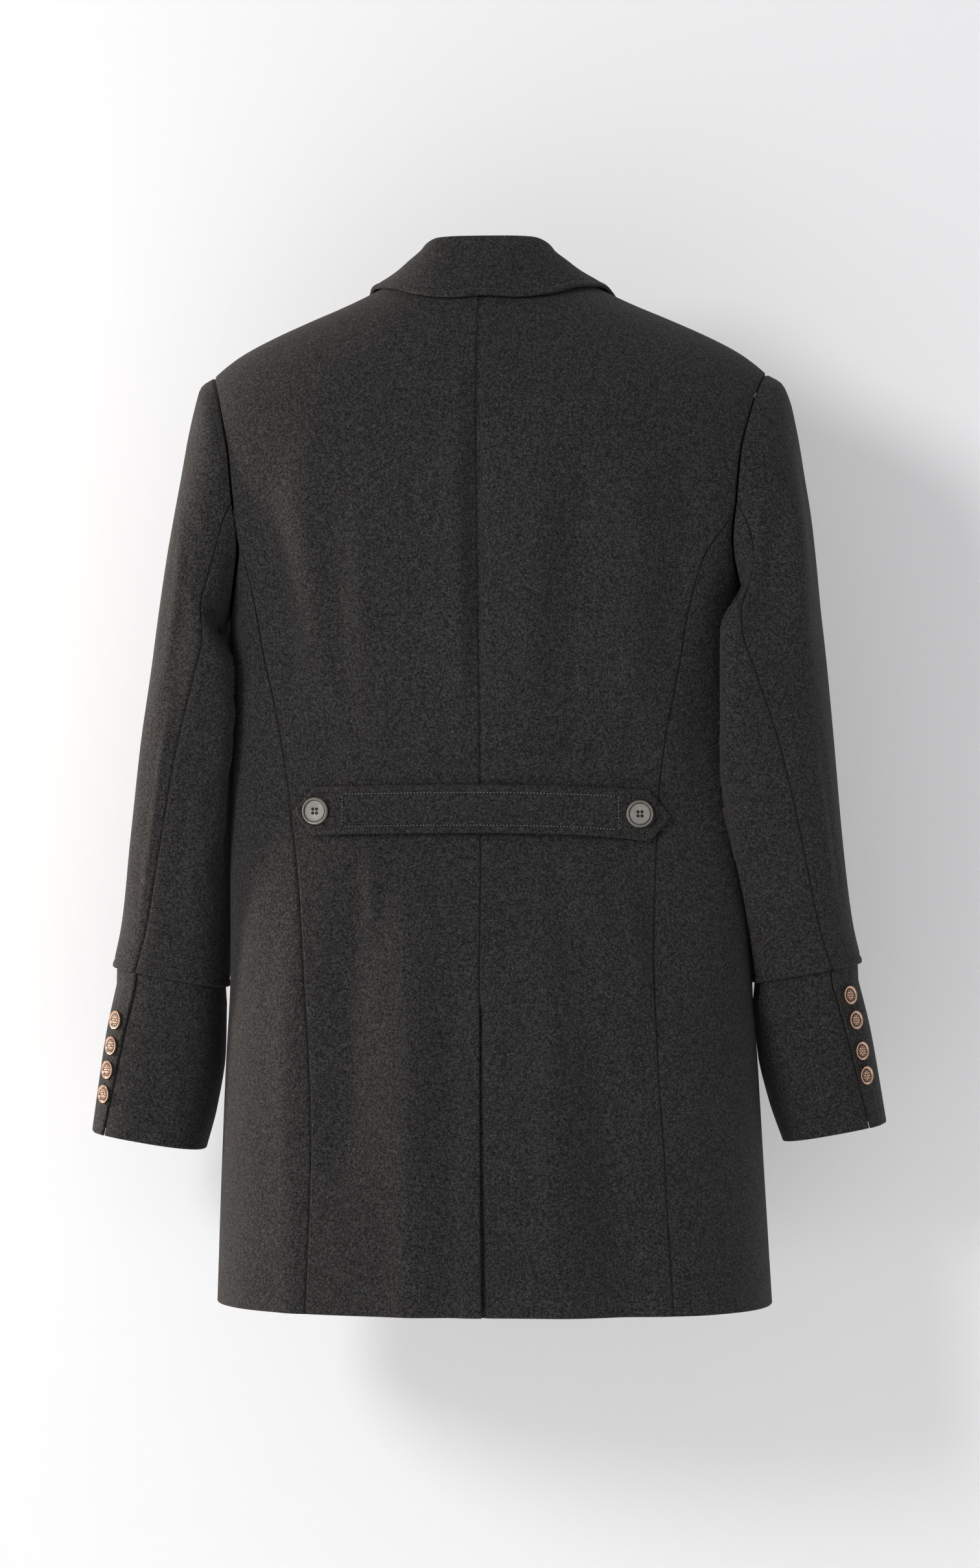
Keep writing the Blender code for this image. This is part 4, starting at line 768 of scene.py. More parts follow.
# Small folds that only the fine cloth has, in the solids' own terms
FINE_FOLDS = [
    # angle, top, bottom, width, height, drift
    (55.0, -0.052, -0.400, 4.0, 0.0014, 3.0),
    (62.0, -0.120, -0.420, 3.6, -0.0033, 4.0),
    (47.0, -0.100, -0.430, 4.5, -0.0042, 5.0),
    (9.0, -0.040, -0.430, 4.0, 0.0048, 0.0),
    (1.5, -0.040, -0.400, 3.4, -0.0034, 0.0),
    (-25.0, -0.070, -0.430, 6.0, 0.0036, 2.0),
    (-38.0, -0.110, -0.430, 5.5, -0.0033, -2.0),
    (-51.0, -0.110, -0.430, 4.2, 0.0039, -5.0),
    (-60.0, -0.060, -0.370, 3.8, -0.0033, -4.0),
    (64.0, -0.478, -0.866, 3.0, 0.0030, -6.0),
    (52.0, -0.474, -0.820, 5.0, -0.0039, -6.0),
    (47.0, -0.464, -0.560, 2.2, 0.0021, -3.0),
    (24.0, -0.540, -0.880, 6.0, 0.0027, -1.0),
    (10.0, -0.520, -0.880, 4.0, -0.0024, 0.0),
    (-27.0, -0.465, -0.860, 5.0, 0.0030, 0.0),
    (-34.0, -0.465, -0.600, 4.0, -0.0027, -2.0),
    (-39.0, -0.570, -0.880, 5.5, -0.0039, -8.0),
    (-54.0, -0.474, -0.640, 2.6, 0.0033, 2.0),
    (-60.0, -0.474, -0.640, 2.6, -0.0033, 2.0),
    (-62.0, -0.560, -0.880, 4.0, 0.0021, -2.0),
    (58.0, -0.340, -0.424, 2.6, -0.0024, 1.0),
    (-56.0, -0.340, -0.424, 2.6, -0.0024, -1.0),
    (70.0, -0.300, -0.470, 4.0, -0.0024, 2.0),
    (-70.0, -0.310, -0.480, 4.0, -0.0022, -2.0),
    (94.0, -0.340, -0.520, 5.0, -0.0020, 3.0),
    (-96.0, -0.350, -0.520, 5.0, -0.0020, -3.0),
    (150.0, -0.470, -0.860, 5.0, 0.0014, 2.0),
    (-158.0, -0.520, -0.860, 5.0, -0.0012, 2.0),
    (118.0, -0.250, -0.420, 5.0, -0.0020, 4.0),
    (-120.0, -0.260, -0.430, 5.0, -0.0020, -4.0),
]
FINE_SLEEVE_FOLDS = {
    1: [
        # angle, start, end, width, height, drift
        (8.0, 0.10, 0.30, 8.0, -0.0014, 4.0),
        (70.0, 0.45, 0.98, 6.0, 0.0012, 8.0),
        (40.0, 0.20, 0.55, 7.0, -0.0013, 6.0),
        (112.0, 0.60, 0.95, 8.0, -0.0016, 4.0),
        (150.0, 0.62, 0.76, 14.0, -0.0026, -18.0),
        (158.0, 0.52, 0.62, 12.0, -0.0020, -16.0),
        (165.0, 0.74, 0.86, 12.0, -0.0020, -14.0),
        (210.0, 0.45, 0.85, 9.0, 0.0016, 6.0),
        (330.0, 0.12, 0.50, 8.0, -0.0012, 6.0),
    ],
    -1: [
        (14.0, 0.12, 0.34, 8.0, -0.0014, 6.0),
        (74.0, 0.40, 0.90, 6.0, 0.0012, 6.0),
        (46.0, 0.50, 0.96, 7.0, -0.0012, -6.0),
        (104.0, 0.18, 0.44, 8.0, -0.0016, 10.0),
        (118.0, 0.58, 0.95, 8.0, -0.0014, 4.0),
        (158.0, 0.66, 0.78, 12.0, -0.0020, -16.0),
        (210.0, 0.45, 0.85, 9.0, 0.0016, 6.0),
        (330.0, 0.12, 0.50, 8.0, -0.0012, 6.0),
    ],
}


def spread(length, count, first=True, last=True, marks=()):
    """Places from 0 to 1 along a row of this length, closer together at its ends and at marks.
    A mark is a distance from the row's start, or from its end if it is negative."""
    at = list(np.linspace(0, length, count + 1))
    if first:
        at += [0.0] + list(NEAR)
    if last:
        at += [length] + [length - d for d in NEAR]
    keep = [0.0, length]
    for mark in marks:
        middle = mark if mark > 0 else length + mark
        keep.append(middle)
        at += [middle + d for d in (-0.0016, -0.0008, 0.0008, 0.0016)]
    at = sorted(v for v in at if 0 < v < length and min(abs(v - k) for k in keep) > 0.00025)
    merged = []
    for v in at:
        if not merged or v - merged[-1] > 0.00025:
            merged.append(v)
    return np.array(sorted(merged + keep)) / length


def distance_from(points, side):
    """How far each point of a grid is from the named side, along its own row or column."""
    axis = 0 if side.endswith("row") else 1
    steps = np.linalg.norm(np.diff(points, axis=axis), axis=-1)
    zero = np.zeros_like(np.take(steps, [0], axis=axis))
    far = np.concatenate([zero, np.cumsum(steps, axis=axis)], axis=axis)
    return far if side.startswith("first") else np.take(far, [-1], axis=axis) - far


def grid_normal(grid, towards):
    """Unit normals of a grid of points, on the side of the given directions."""
    normal = unit(np.cross(np.gradient(grid, axis=0), np.gradient(grid, axis=1)))
    return normal * np.where((normal * towards).sum(-1) < 0, -1.0, 1.0)[..., None]


def finish_edges(outer, inner, normal, sides):
    """Shapes a wall's borders. sides lists each named side, what it is and how strong: "seam", "edge"
    (a turned edge, rounded) or "sewn_edge" (the same with a line of stitches a little way in)."""
    measured = outer.copy()
    for side, what, weight in sides:
        d = distance_from(measured, side)
        if what == "seam":
            dip = SEAM_DIP * np.exp(-((d / SEAM_REACH) ** 2)) * weight
            outer -= normal * dip[..., None]
            continue
        r = CLOTH / 2
        near = np.clip(r - d, 0, r)
        round_in = (r - np.sqrt(r * r - near * near)) * 0.96 * weight
        outer -= normal * round_in[..., None]
        inner += normal * round_in[..., None]
        if what == "sewn_edge":
            dip = 0.0006 * np.exp(-(((d - SEW_IN) / 0.0011) ** 2))
            puff = 0.0005 * np.sin(np.pi * np.clip(d / SEW_IN, 0, 1))
            outer += normal * ((puff - dip) * weight)[..., None]
    return outer, inner


def smooth_mesh(name, points, faces):
    mesh = bpy.data.meshes.new(name)
    mesh.from_pydata([tuple(p) for p in points], [], faces)
    mesh.update()
    mesh.shade_smooth()
    return mesh


def link(name, mesh, look, *nodes, slot="wool"):
    made = bpy.data.objects.new(name, mesh)
    bpy.context.scene.collection.objects.link(made)
    mesh.materials.append(look)
    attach(made, "root")
    if nodes:
        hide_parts(*nodes)
    return made


def shell(name, outer, inner, look, *nodes, present=None):
    """A closed thin wall between two fine grids."""
    rows, cols = outer.shape[:2]
    present = np.ones((rows - 1, cols - 1), bool) if present is None else present
    used = np.zeros((rows, cols), bool)
    i, j = np.nonzero(present)
    for di, dj in ((0, 0), (0, 1), (1, 1), (1, 0)):
        used[i + di, j + dj] = True
    index = np.full((rows, cols), -1)
    index[used] = np.arange(used.sum())
    count = int(used.sum())
    ring = [index[i, j], index[i, j + 1], index[i + 1, j + 1], index[i + 1, j]]
    faces = np.stack(ring, axis=1)
    quads = [faces, faces[:, ::-1] + count]
    sides = np.concatenate([np.stack([ring[k], ring[(k + 1) % 4]], axis=1) for k in range(4)])
    key = np.sort(sides, axis=1)
    _, first, uses = np.unique(key, axis=0, return_index=True, return_counts=True)
    border = sides[first[uses == 1]]
    a, b = border[:, 0], border[:, 1]
    quads.append(np.stack([b, a, a + count, b + count], axis=1))
    mesh = bpy.data.meshes.new(name)
    points = np.concatenate([outer[used], inner[used]])
    mesh.from_pydata(points.tolist(), [], np.concatenate(quads).tolist())
    mesh.update()
    middle = len(faces) // 2
    outward = outer[i[middle], j[middle]] - inner[i[middle], j[middle]]
    if Vector(outward).dot(mesh.polygons[middle].normal) < 0:
        mesh.flip_normals()
    mesh.shade_smooth()
    mesh.set_sharp_from_angle(angle=math.radians(60))
    return link(name, mesh, look, *nodes)


def cut_size(points, present=None):
    """(width, length, area) of a grid laid flat: its widest row, longest column and its area."""
    across = np.linalg.norm(np.diff(points, axis=1), axis=-1)
    down = np.linalg.norm(np.diff(points, axis=0), axis=-1)
    one, two = points[1:, 1:] - points[:-1, :-1], points[1:, :-1] - points[:-1, 1:]
    area = np.linalg.norm(np.cross(one, two), axis=-1) / 2
    if present is not None:
        area = area * present
    return across.sum(1).max(), down.sum(0).max(), area.sum()


def small_folds(points):
    return body_fold(points, FINE_FOLDS)


THREADS = {"belt": [], "coat": []}


def sewn_place(far, *grids):
    """Where the stitches run on a row that is this far from its edge, one point for each grid."""
    return [[np.interp(SEW_IN, far, grid[:, k]) for k in range(3)] for grid in grids]


def sew(kind, path, normal, closed=False):
    """Lays stitches along a line of points on the cloth."""
    path, normal = np.asarray(path, float), np.asarray(normal, float)
    steps = np.linalg.norm(np.diff(path, axis=0), axis=1)
    far = np.concatenate([[0], np.cumsum(steps)])
    pitch = STITCH + STITCH_SPACE
    count = int(far[-1] // pitch)
    if count < 1:
        return
    start = (far[-1] - count * pitch + STITCH_SPACE) / 2
    for k in range(count):
        ends = [start + k * pitch, start + k * pitch + STITCH]
        at = [np.array([np.interp(e, far, path[:, c]) for c in range(3)]) for e in ends]
        up = np.array([np.interp(sum(ends) / 2, far, normal[:, c]) for c in range(3)])
        THREADS[kind].append((at[0], at[1], unit(up)))


def ring_faces(base, rings, sides):
    """Faces between rings of points that follow each other from the point base on."""
    faces = []
    for low in range(base, base + (rings - 1) * sides, sides):
        for k in range(sides):
            n = (k + 1) % sides
            faces.append((low + k, low + n, low + sides + n, low + sides + k))
    return faces


def thread_mesh(name, stitches, look):
    rings = ((-0.5, 0.35, -0.9), (-0.34, 1.0, 0.1), (0.0, 1.1, 0.45), (0.34, 1.0, 0.1), (0.5, 0.35, -0.9))
    sides = 6
    points, faces = [], []
    for a, b, up in stitches:
        base = len(points)
        middle, along = (a + b) / 2, b - a
        across = unit(np.cross(along, up))
        for t, r, h in rings:
            centre = middle + along * t + up * THREAD_R * h
            for k in range(sides):
                turn = 2 * math.pi * k / sides
                points.append(centre + (across * math.cos(turn) + up * math.sin(turn)) * THREAD_R * r)
        faces += ring_faces(base, len(rings), sides)
        faces.append(tuple(base + k for k in reversed(range(sides))))
        faces.append(tuple(base + (len(rings) - 1) * sides + k for k in range(sides)))
    return link(name, smooth_mesh(name, points, faces), look)


# Materials
def nodes_of(name):
    made = bpy.data.materials.new(name)
    made.use_nodes = True
    tree = made.node_tree
    return made, tree, tree.nodes["Principled BSDF"]


def noise(tree, where, scale, detail=2.0, rough=0.5):
    made = tree.nodes.new("ShaderNodeTexNoise")
    made.inputs["Scale"].default_value = scale
    made.inputs["Detail"].default_value = detail
    made.inputs["Roughness"].default_value = rough
    tree.links.new(where, made.inputs["Vector"])
    return made.outputs["Fac"]


def ramp(tree, value, stops):
    made = tree.nodes.new("ShaderNodeValToRGB")
    tree.links.new(value, made.inputs["Fac"])
    while len(made.color_ramp.elements) < len(stops):
        made.color_ramp.elements.new(0.5)
    for element, (at, colour) in zip(made.color_ramp.elements, stops):
        element.position = at
        element.color = (*colour, 1.0) if len(colour) == 3 else colour
    return made.outputs["Color"]


def mixed(tree, share, a, b, kind="MIX"):
    made = tree.nodes.new("ShaderNodeMix")
    made.data_type = "RGBA"
    made.blend_type = kind
    for socket, value in ((made.inputs[0], share), (made.inputs[6], a), (made.inputs[7], b)):
        if isinstance(value, (int, float)):
            socket.default_value = value
        elif isinstance(value, tuple):
            socket.default_value = (*value, 1.0)
        else:
            tree.links.new(value, socket)
    return made.outputs[2]


def bump(tree, height, strength, distance, under=None):
    """A bump's normal, over another bump's where that is given."""
    made = tree.nodes.new("ShaderNodeBump")
    made.inputs["Strength"].default_value = strength
    made.inputs["Distance"].default_value = distance
    tree.links.new(height, made.inputs["Height"])
    if under:
        tree.links.new(under, made.inputs["Normal"])
    return made.outputs["Normal"]


def wool_look(name):
    """Matt charcoal wool: a felted nap with light, dark and brown fibres in it."""
    made, tree, shader = nodes_of(name)
    where = tree.nodes.new("ShaderNodeTexCoord").outputs["Object"]
    tones = [(0.39, WOOL_DARK), (0.50, WOOL_MID), (0.61, WOOL_LIGHT)]
    base = ramp(tree, noise(tree, where, 460, 5, 0.82), tones)
    broad = ramp(tree, noise(tree, where, 7, 3), [(0.25, (0.90, 0.90, 0.91)), (0.75, (1.10, 1.09, 1.08))])
    colour = mixed(tree, 1.0, base, broad, "MULTIPLY")
    light = ramp(tree, noise(tree, where, 1300, 1), [(0.62, (0, 0, 0)), (0.70, (1, 1, 1))])
    colour = mixed(tree, light, colour, FLECK_LIGHT)
    shift = tree.nodes.new("ShaderNodeMapping")
    shift.inputs["Location"].default_value = (3.1, 1.7, 5.3)
    tree.links.new(where, shift.inputs["Vector"])
    moved = shift.outputs["Vector"]
    brown = ramp(tree, noise(tree, moved, 1200, 1), [(0.62, (0, 0, 0)), (0.72, (1, 1, 1))])
    colour = mixed(tree, brown, colour, FLECK_BROWN)
    tree.links.new(colour, shader.inputs["Base Color"])
    shader.inputs["Roughness"].default_value = 0.95
    shader.inputs["Specular IOR Level"].default_value = 0.12
    shader.inputs["Sheen Weight"].default_value = 0.10
    shader.inputs["Sheen Roughness"].default_value = 0.6
    shader.inputs["Sheen Tint"].default_value = (*SHEEN, 1.0)
    nap = bump(tree, noise(tree, where, 900, 4, 0.65), 0.6, 0.0008)
    soft = bump(tree, noise(tree, moved, 90, 2), 0.30, 0.0015, nap)
    tree.links.new(soft, shader.inputs["Normal"])
    return made


def plain_look(name, colour, roughness, metallic=0.0, bump_scale=0.0, strength=0.2, distance=0.0002):
    made, tree, shader = nodes_of(name)
    where = tree.nodes.new("ShaderNodeTexCoord").outputs["Object"]
    tone = ramp(tree, noise(tree, where, 260, 2), [(0.3, tuple(c * 0.82 for c in colour)), (0.7, colour)])
    tree.links.new(tone, shader.inputs["Base Color"])
    shader.inputs["Roughness"].default_value = roughness
    shader.inputs["Metallic"].default_value = metallic
    if bump_scale:
        rough = bump(tree, noise(tree, where, bump_scale, 3), strength, distance)
        tree.links.new(rough, shader.inputs["Normal"])
    return made


WOOL_DARK = (0.0050, 0.0050, 0.0056)
WOOL_MID = (0.0166, 0.0167, 0.0172)
WOOL_LIGHT = (0.0530, 0.0528, 0.0526)
FLECK_LIGHT = (0.110, 0.105, 0.100)
FLECK_BROWN = (0.060, 0.041, 0.034)
SHEEN = (0.55, 0.52, 0.50)

WOOL = wool_look("charcoal_wool")
THREAD = plain_look("grey_thread", (0.30, 0.29, 0.28), 0.7)
DARK_THREAD = plain_look("dark_thread", (0.075, 0.072, 0.070), 0.75)
GILT = plain_look("rose_gilt", (0.86, 0.56, 0.40), 0.24, 1.0, 900, 0.15, 0.0001)
GROUND = plain_look("button_ground", (0.035, 0.030, 0.028), 0.55, 0.0, 1500, 0.5, 0.0002)
HORN = plain_look("horn", (0.17, 0.165, 0.15), 0.30, 0.0, 300, 0.1)
HORN_RIM = plain_look("horn_rim", (0.24, 0.23, 0.20), 0.28)
PEARL = plain_look("horn_middle", (0.30, 0.29, 0.26), 0.30)
# Near-black colour for the button holes: partly the thread in them, partly the holes' painted shade
HOLE_SHADE_AND_THREAD = plain_look("button_hole_shade_and_thread", (0.010, 0.010, 0.010), 0.9)


# Cloth pieces
def lower_fine(count=112):
    return spread(BLADE_Z - HEM_Z, count, True, False, (HEM_TURN,))


def arcs_fine(count):
    """Angles of the rows over the shoulder, closer together beside its seam."""
    last = 90 - np.array([1.1, 0.6, 0.3, 0.12, 0])
    return np.radians(np.concatenate([np.linspace(0, 90, count + 1)[1:-1], last]))


HEM_TURN = 0.040
CUT_SPARE = 0.002
BACK_WIDTH = 0.215
SIDE_WIDTH = 0.20
FRONT_WIDTH = 0.31
SLEEVE_LENGTH = 0.50
CUFF_LENGTH = 0.135
SEAMS_BESIDE = [("first_col", "seam", 1), ("last_col", "seam", 1)]
SHEETS = []


def declare(made, points, held, rests_on, present=None):
    SHEETS.append((made, points, held, rests_on, present))


def dress(name, points, side, sides, lift=0.0, present=None):
    """Drapes a grid on the form, shapes its borders and makes its shell."""
    outer, inner, normal = drape(points, side, lift)
    add = small_folds(outer)
    hem = distance_from(outer, "first_row")
    add = add - 0.00035 * np.exp(-(((hem - HEM_TURN) / 0.0022) ** 2))
    outer, inner = outer + normal * add[..., None], inner + normal * add[..., None]
    normal = grid_normal(outer, normal)
    finish_edges(outer, inner, normal, sides)
    made = shell(name, outer, inner, WOOL, name, present=present)
    return made, outer, normal


def make_backs():
    neck = NECK_SIDE_X / SHOULDER_TIP_X
    fine = spread(BACK_WIDTH, 66)
    shares = np.array(sorted(set(np.round(np.concatenate([fine, [neck]]), 6))))
    rows = lower_fine()
    arcs = arcs_fine(40)
    plain = back_form(shares, rows, arcs)
    z = plain[..., 2]
    below = smoothstep(VENT_TOP_Z + 0.004, VENT_TOP_Z - 0.004, z)
    down = smoothstep(VENT_TOP_Z, HEM_Z, z)
    near = distance_from(plain, "first_col")
    open_edge = below * (0.0006 + 0.0030 * down**2) * np.exp(-((near / (0.012 + 0.02 * down)) ** 2))
    rest = [("first_row", "edge", 1), ("last_col", "seam", 1), ("last_row", "seam", 1)]
    centre = [("first_col", "seam", 1 - below), ("first_col", "edge", below)]
    made, outer, normal = dress("back_left", plain, 1, rest + centre, open_edge)
    line = np.linspace((0.0080, 0, -0.6129), (0.0296, 0, -0.6182), 12)
    line[:, 1] = depth_at(line[:, 0], line[:, 2], True)
    on_cloth, _, up = drape(line, 1)
    sew("coat", on_cloth, up)
    declare(made, plain, "hung", ["back_right", "side_left", "collar"])

    # The vent: the right back steps in and passes under the left
    plain = back_form(shares, rows, arcs, -1)
    under_x = -np.linspace(VENT_UNDERLAP, 0.002, 14)
    laps = []
    for x in under_x:
        laps.append(stack(x, depth_at(x, np.minimum(plain[:, 0, 2], -0.02), True), plain[:, 0, 2]))
    full = np.concatenate([np.stack(laps, axis=1), plain], axis=1)
    z, x = full[..., 2], full[..., 0]
    below = smoothstep(VENT_TOP_Z + 0.003, VENT_TOP_Z - 0.009, z)
    under = (CLOTH + 0.0010) * smoothstep(VENT_STEP, 0.0005, x) * below
    cells = full[:-1, 0, 2] < VENT_TOP_Z - 0.009
    present = np.ones((full.shape[0] - 1, full.shape[1] - 1), bool)
    present[~cells, : len(under_x)] = False
    dip = SEAM_DIP * np.exp(-((np.clip(x, 0, 1) / SEAM_REACH) ** 2)) * (1 - below)
    made, _, _ = dress("back_right", full, -1, rest, -under - dip, present)
    declare(made, full, "hung", ["back_left", "side_right", "collar"], present)


def make_sides():
    first, last = BACK_SEAM_DEG, FRONT_SEAM_DEG
    angles = first + spread(SIDE_WIDTH, 44) * (last - first)
    sides = [("first_row", "edge", 1)] + SEAMS_BESIDE + [("last_row", "seam", 1)]
    for side, word in SIDES:
        plain = side_form(angles, lower_fine(96), side)
        made, _, _ = dress(f"side_{word}", plain, side, sides)
        declare(made, plain, "hung", [f"back_{word}", f"front_{word}"])


def make_fronts():
    shares = spread(FRONT_WIDTH, 84, True, True, (-SEW_IN,))
    plain = front_form(shares, lower_fine(), arcs_fine(44))
    z = plain[..., 2]
    for side, word in SIDES:
        lift = lap_lift(plain) if side > 0 else 0.0
        free = smoothstep(CHEST_Z + 0.01, CHEST_Z - 0.01, z)
        sides = [("first_row", "edge", 1), ("first_col", "seam", 1), ("last_row", "seam", 1)]
        sides.append(("last_col", "sewn_edge", free))
        made, outer, normal = dress(f"front_{word}", plain, side, sides, lift)
        declare(made, plain, "hung", [f"side_{word}", f"back_{word}"])
        if side > 0:
            col = int(np.argmin(np.abs(shares - (1 - SEW_IN / FRONT_WIDTH))))
            rows = plain[:, 0, 2] < CHEST_Z
            sew("coat", outer[rows, col], normal[rows, col])


def ring_angles(count=190):
    """Angles round a sleeve, closer together beside its two seams."""
    at = list(np.linspace(0, 360, count + 1))
    for seam in (BACK_SEAM_DEG, FRONT_SEAM_DEG):
        at = [a for a in at if abs(a - seam) > 0.2]
        for d in (0.0, 0.25, 0.6, 1.1, 1.8, 2.8):
            at += [seam - d, seam + d]
    at = sorted(set(at))
    kept = [at[0]]
    for a in at[1:]:
        if a - kept[-1] > 0.15 or a in (BACK_SEAM_DEG, FRONT_SEAM_DEG, 360.0):
            if a - kept[-1] <= 0.15:
                kept.pop()
            kept.append(a)
    return np.array(kept)


def split_ring(angles):
    back = int(np.nonzero(angles == BACK_SEAM_DEG)[0][0])
    front = int(np.nonzero(angles == FRONT_SEAM_DEG)[0][0])
    upper = np.concatenate([np.arange(front, len(angles) - 1), np.arange(back + 1)])
    return {"top": upper, "under": np.arange(back, front + 1)}


def ring_normals(grid, outward):
    """Normals of a grid whose last column repeats its first."""
    wide = np.concatenate([grid[:, -2:-1], grid, grid[:, 1:2]], axis=1)
    normal = unit(np.cross(np.gradient(wide, axis=0), np.gradient(wide, axis=1)))[:, 1:-1]
    return normal * np.where((normal * outward).sum(-1) < 0, -1.0, 1.0)[..., None]


def make_sleeves():
    angles = ring_angles()
    places = spread(SLEEVE_LENGTH, 92, True, True, (-SEW_IN,))
    seam = armhole(angles)
    body_normal, _ = form_normal(seam)
    tangent = unit(np.roll(seam[:-1], -1, axis=0) - np.roll(seam[:-1], 1, axis=0))
    tangent = np.vstack([tangent, tangent[:1]])
    away = unit(np.cross(tangent, body_normal))
    cap = np.exp(-((((angles + 180) % 360 - 180) / 55.0) ** 2))
    for side, word in SIDES:
        flip = mirror(side)
        plain = np.array([sleeve_form(side, along, angles) for along in places])
        centre = plain[:, :-1].mean(axis=1)[:, None]
        normal = ring_normals(plain, plain - centre)
        lean = np.clip((normal[0] * away).sum(-1), 0, None)
        normal[0] = unit(normal[0] - away * lean[:, None])
        fold = np.array([sleeve_fold(side, along, angles, SLEEVE_FOLDS) for along in places])
        fold += np.array([sleeve_fold(side, along, angles, FINE_SLEEVE_FOLDS) for along in places])
        rope = 0.0016 * np.exp(-(((places - 0.030) / 0.022) ** 2))[:, None] * cap[None]
        lift = body_fold(seam * flip) + small_folds(seam * flip)
        plain[0] = seam + away * SEAM_GAP / 2 + body_normal * lift[:, None]
        outer = (plain + normal * (fold + rope)[..., None]) * flip
        world = normal * flip
        for part, cols in split_ring(angles).items():
            name = f"sleeve_{part}_{word}"
            o, n = outer[:, cols].copy(), world[:, cols].copy()
            i = o - n * CLOTH
            sides = [("first_row", "seam", 1)] + SEAMS_BESIDE + [("last_row", "sewn_edge", 1)]
            finish_edges(o, i, n, sides)
            made = shell(name, o, i, WOOL, name)
            declare(made, o, "hung", [f"front_{word}", f"back_{word}"])
            row = int(np.argmin(np.abs(places - (1 - SEW_IN / SLEEVE_LENGTH))))
            sew("coat", o[row], n[row])


def make_cuffs():
    angles = ring_angles(130)
    for side, word in SIDES:
        flip = mirror(side)
        upper = [sleeve_form(side, along, angles) for along in (1.0 - 2 * CUFF_OVERLAP, 0.984, 1.0)]
        places = spread(CUFF_LENGTH, 34, False, True)
        lower = [cuff_form(side, along, angles) for along in places]
        centre = np.array([ring_points[:-1].mean(axis=0) for ring_points in upper])
        upper = np.array(upper)
        inward = ring_normals(upper, upper - centre[:, None])
        upper = upper - inward * (CLOTH + LAY_GAP)
        plain = np.concatenate([upper, lower])
        outward = ring_normals(plain, plain - plain[:, :-1].mean(axis=1)[:, None])
        outer, world = plain * flip, outward * flip
        for part, cols in split_ring(angles).items():
            name = f"cuff_{part}_{word}"
            o, n = outer[:, cols].copy(), world[:, cols].copy()
            i = o - n * CLOTH
            if part == "top":
                d = distance_from(o, "last_col")
                strip = 0.0011 * smoothstep(0.0175, 0.0150, d) + 0.0004 * np.exp(-((d / 0.004) ** 2))
                groove = 0.0004 * np.exp(-(((d - 0.019) / 0.0015) ** 2))
                o += n * (strip - groove)[..., None]
                i += n * (strip * 0.5)[..., None]
                sides = [("last_row", "edge", 1), ("first_col", "seam", 1), ("last_col", "edge", 1)]
            else:
                sides = [("last_row", "edge", 1)] + SEAMS_BESIDE
            finish_edges(o, i, n, sides)
            made = shell(name, o, i, WOOL, name)
            declare(made, o, "hung", [f"sleeve_{part}_{word}"])


def refine(grid, rows, cols):
    """A finer grid through the points of a coarse one, by curves that don't overshoot."""
    for axis, at in ((0, rows), (1, cols)):
        grid = np.moveaxis(grid, axis, 0)
        gap = np.linalg.norm(np.diff(grid, axis=0), axis=-1).mean(axis=1)[:, None, None]
        slope = smooth_slopes(np.diff(grid, axis=0) / gap)
        i = np.clip(at.astype(int), 0, len(grid) - 2)
        s = (at - i)[:, None, None]
        grid = curve_between(s, gap[i], grid[i], slope[i], grid[i + 1], slope[i + 1])
        grid = np.moveaxis(grid, 0, axis)
    return grid


def fine_places(n, steps, last_edge=True, first_edge=False):
    """Places 0 to n - 1 between coarse points, with more of them close to the last one."""
    at = list(np.linspace(0, n - 1, (n - 1) * steps + 1))
    if last_edge:
        at += [n - 1 - d for d in (0.012, 0.03, 0.055, 0.09, 0.15, 0.30, 0.36)]
    if first_edge:
        at += [0.012, 0.03, 0.055, 0.09, 0.15, 0.30, 0.36]
    return np.array(sorted(set(np.round(at, 5))))


def make_collar():
    over, under = collar_half()
    flip = mirror(-1.0)
    over, under = (np.concatenate([(g * flip)[:, :0:-1], g], axis=1) for g in (over, under))
    rows = fine_places(over.shape[0], 9)
    cols = fine_places(over.shape[1], 9, True, True)
    outer, inner = refine(over, rows, cols), refine(under, rows, cols)
    normal = grid_normal(outer, outer - inner)
    sides = [("last_row", "sewn_edge", 1), ("first_col", "sewn_edge", 1), ("last_col", "sewn_edge", 1)]
    finish_edges(outer, inner, normal, sides)
    made = shell("collar", outer, inner, WOOL, "collar")
    declare(made, inner, "folded", ["back_left", "back_right", "front_left", "front_right"])
    d = distance_from(outer, "last_row")
    cols = range(3, outer.shape[1] - 3)
    sew("coat", *zip(*[sewn_place(d[::-1, c], outer[::-1, c], normal[::-1, c]) for c in cols]))


def make_lapels():
    for side, word in SIDES:
        outer, inner = lapel_grids(side)
        if side < 0:
            keep = (outer[:, -1] - outer[:, 0])[:, 0] * -1 > 0.004
            outer, inner = outer[keep], inner[keep]
        rows = fine_places(outer.shape[0], 10, True, True)
        cols = fine_places(outer.shape[1], 16, True, side < 0)
        outer, inner = refine(outer, rows, cols), refine(inner, rows, cols)
        normal = grid_normal(outer, outer - inner)
        finish_edges(outer, inner, normal, [("last_col", "sewn_edge", 1), ("last_row", "edge", 1)])
        made = shell(f"lapel_{word}", outer, inner, WOOL, f"lapel_{word}")
        declare(made, inner, "folded", [f"front_{word}"])
        d = distance_from(outer, "last_col")
        rows = [r for r in range(3, outer.shape[0] - 3) if d[r, 0] >= 2 * SEW_IN]
        sew("coat", *zip(*[sewn_place(d[r, ::-1], outer[r, ::-1], normal[r, ::-1]) for r in rows]))


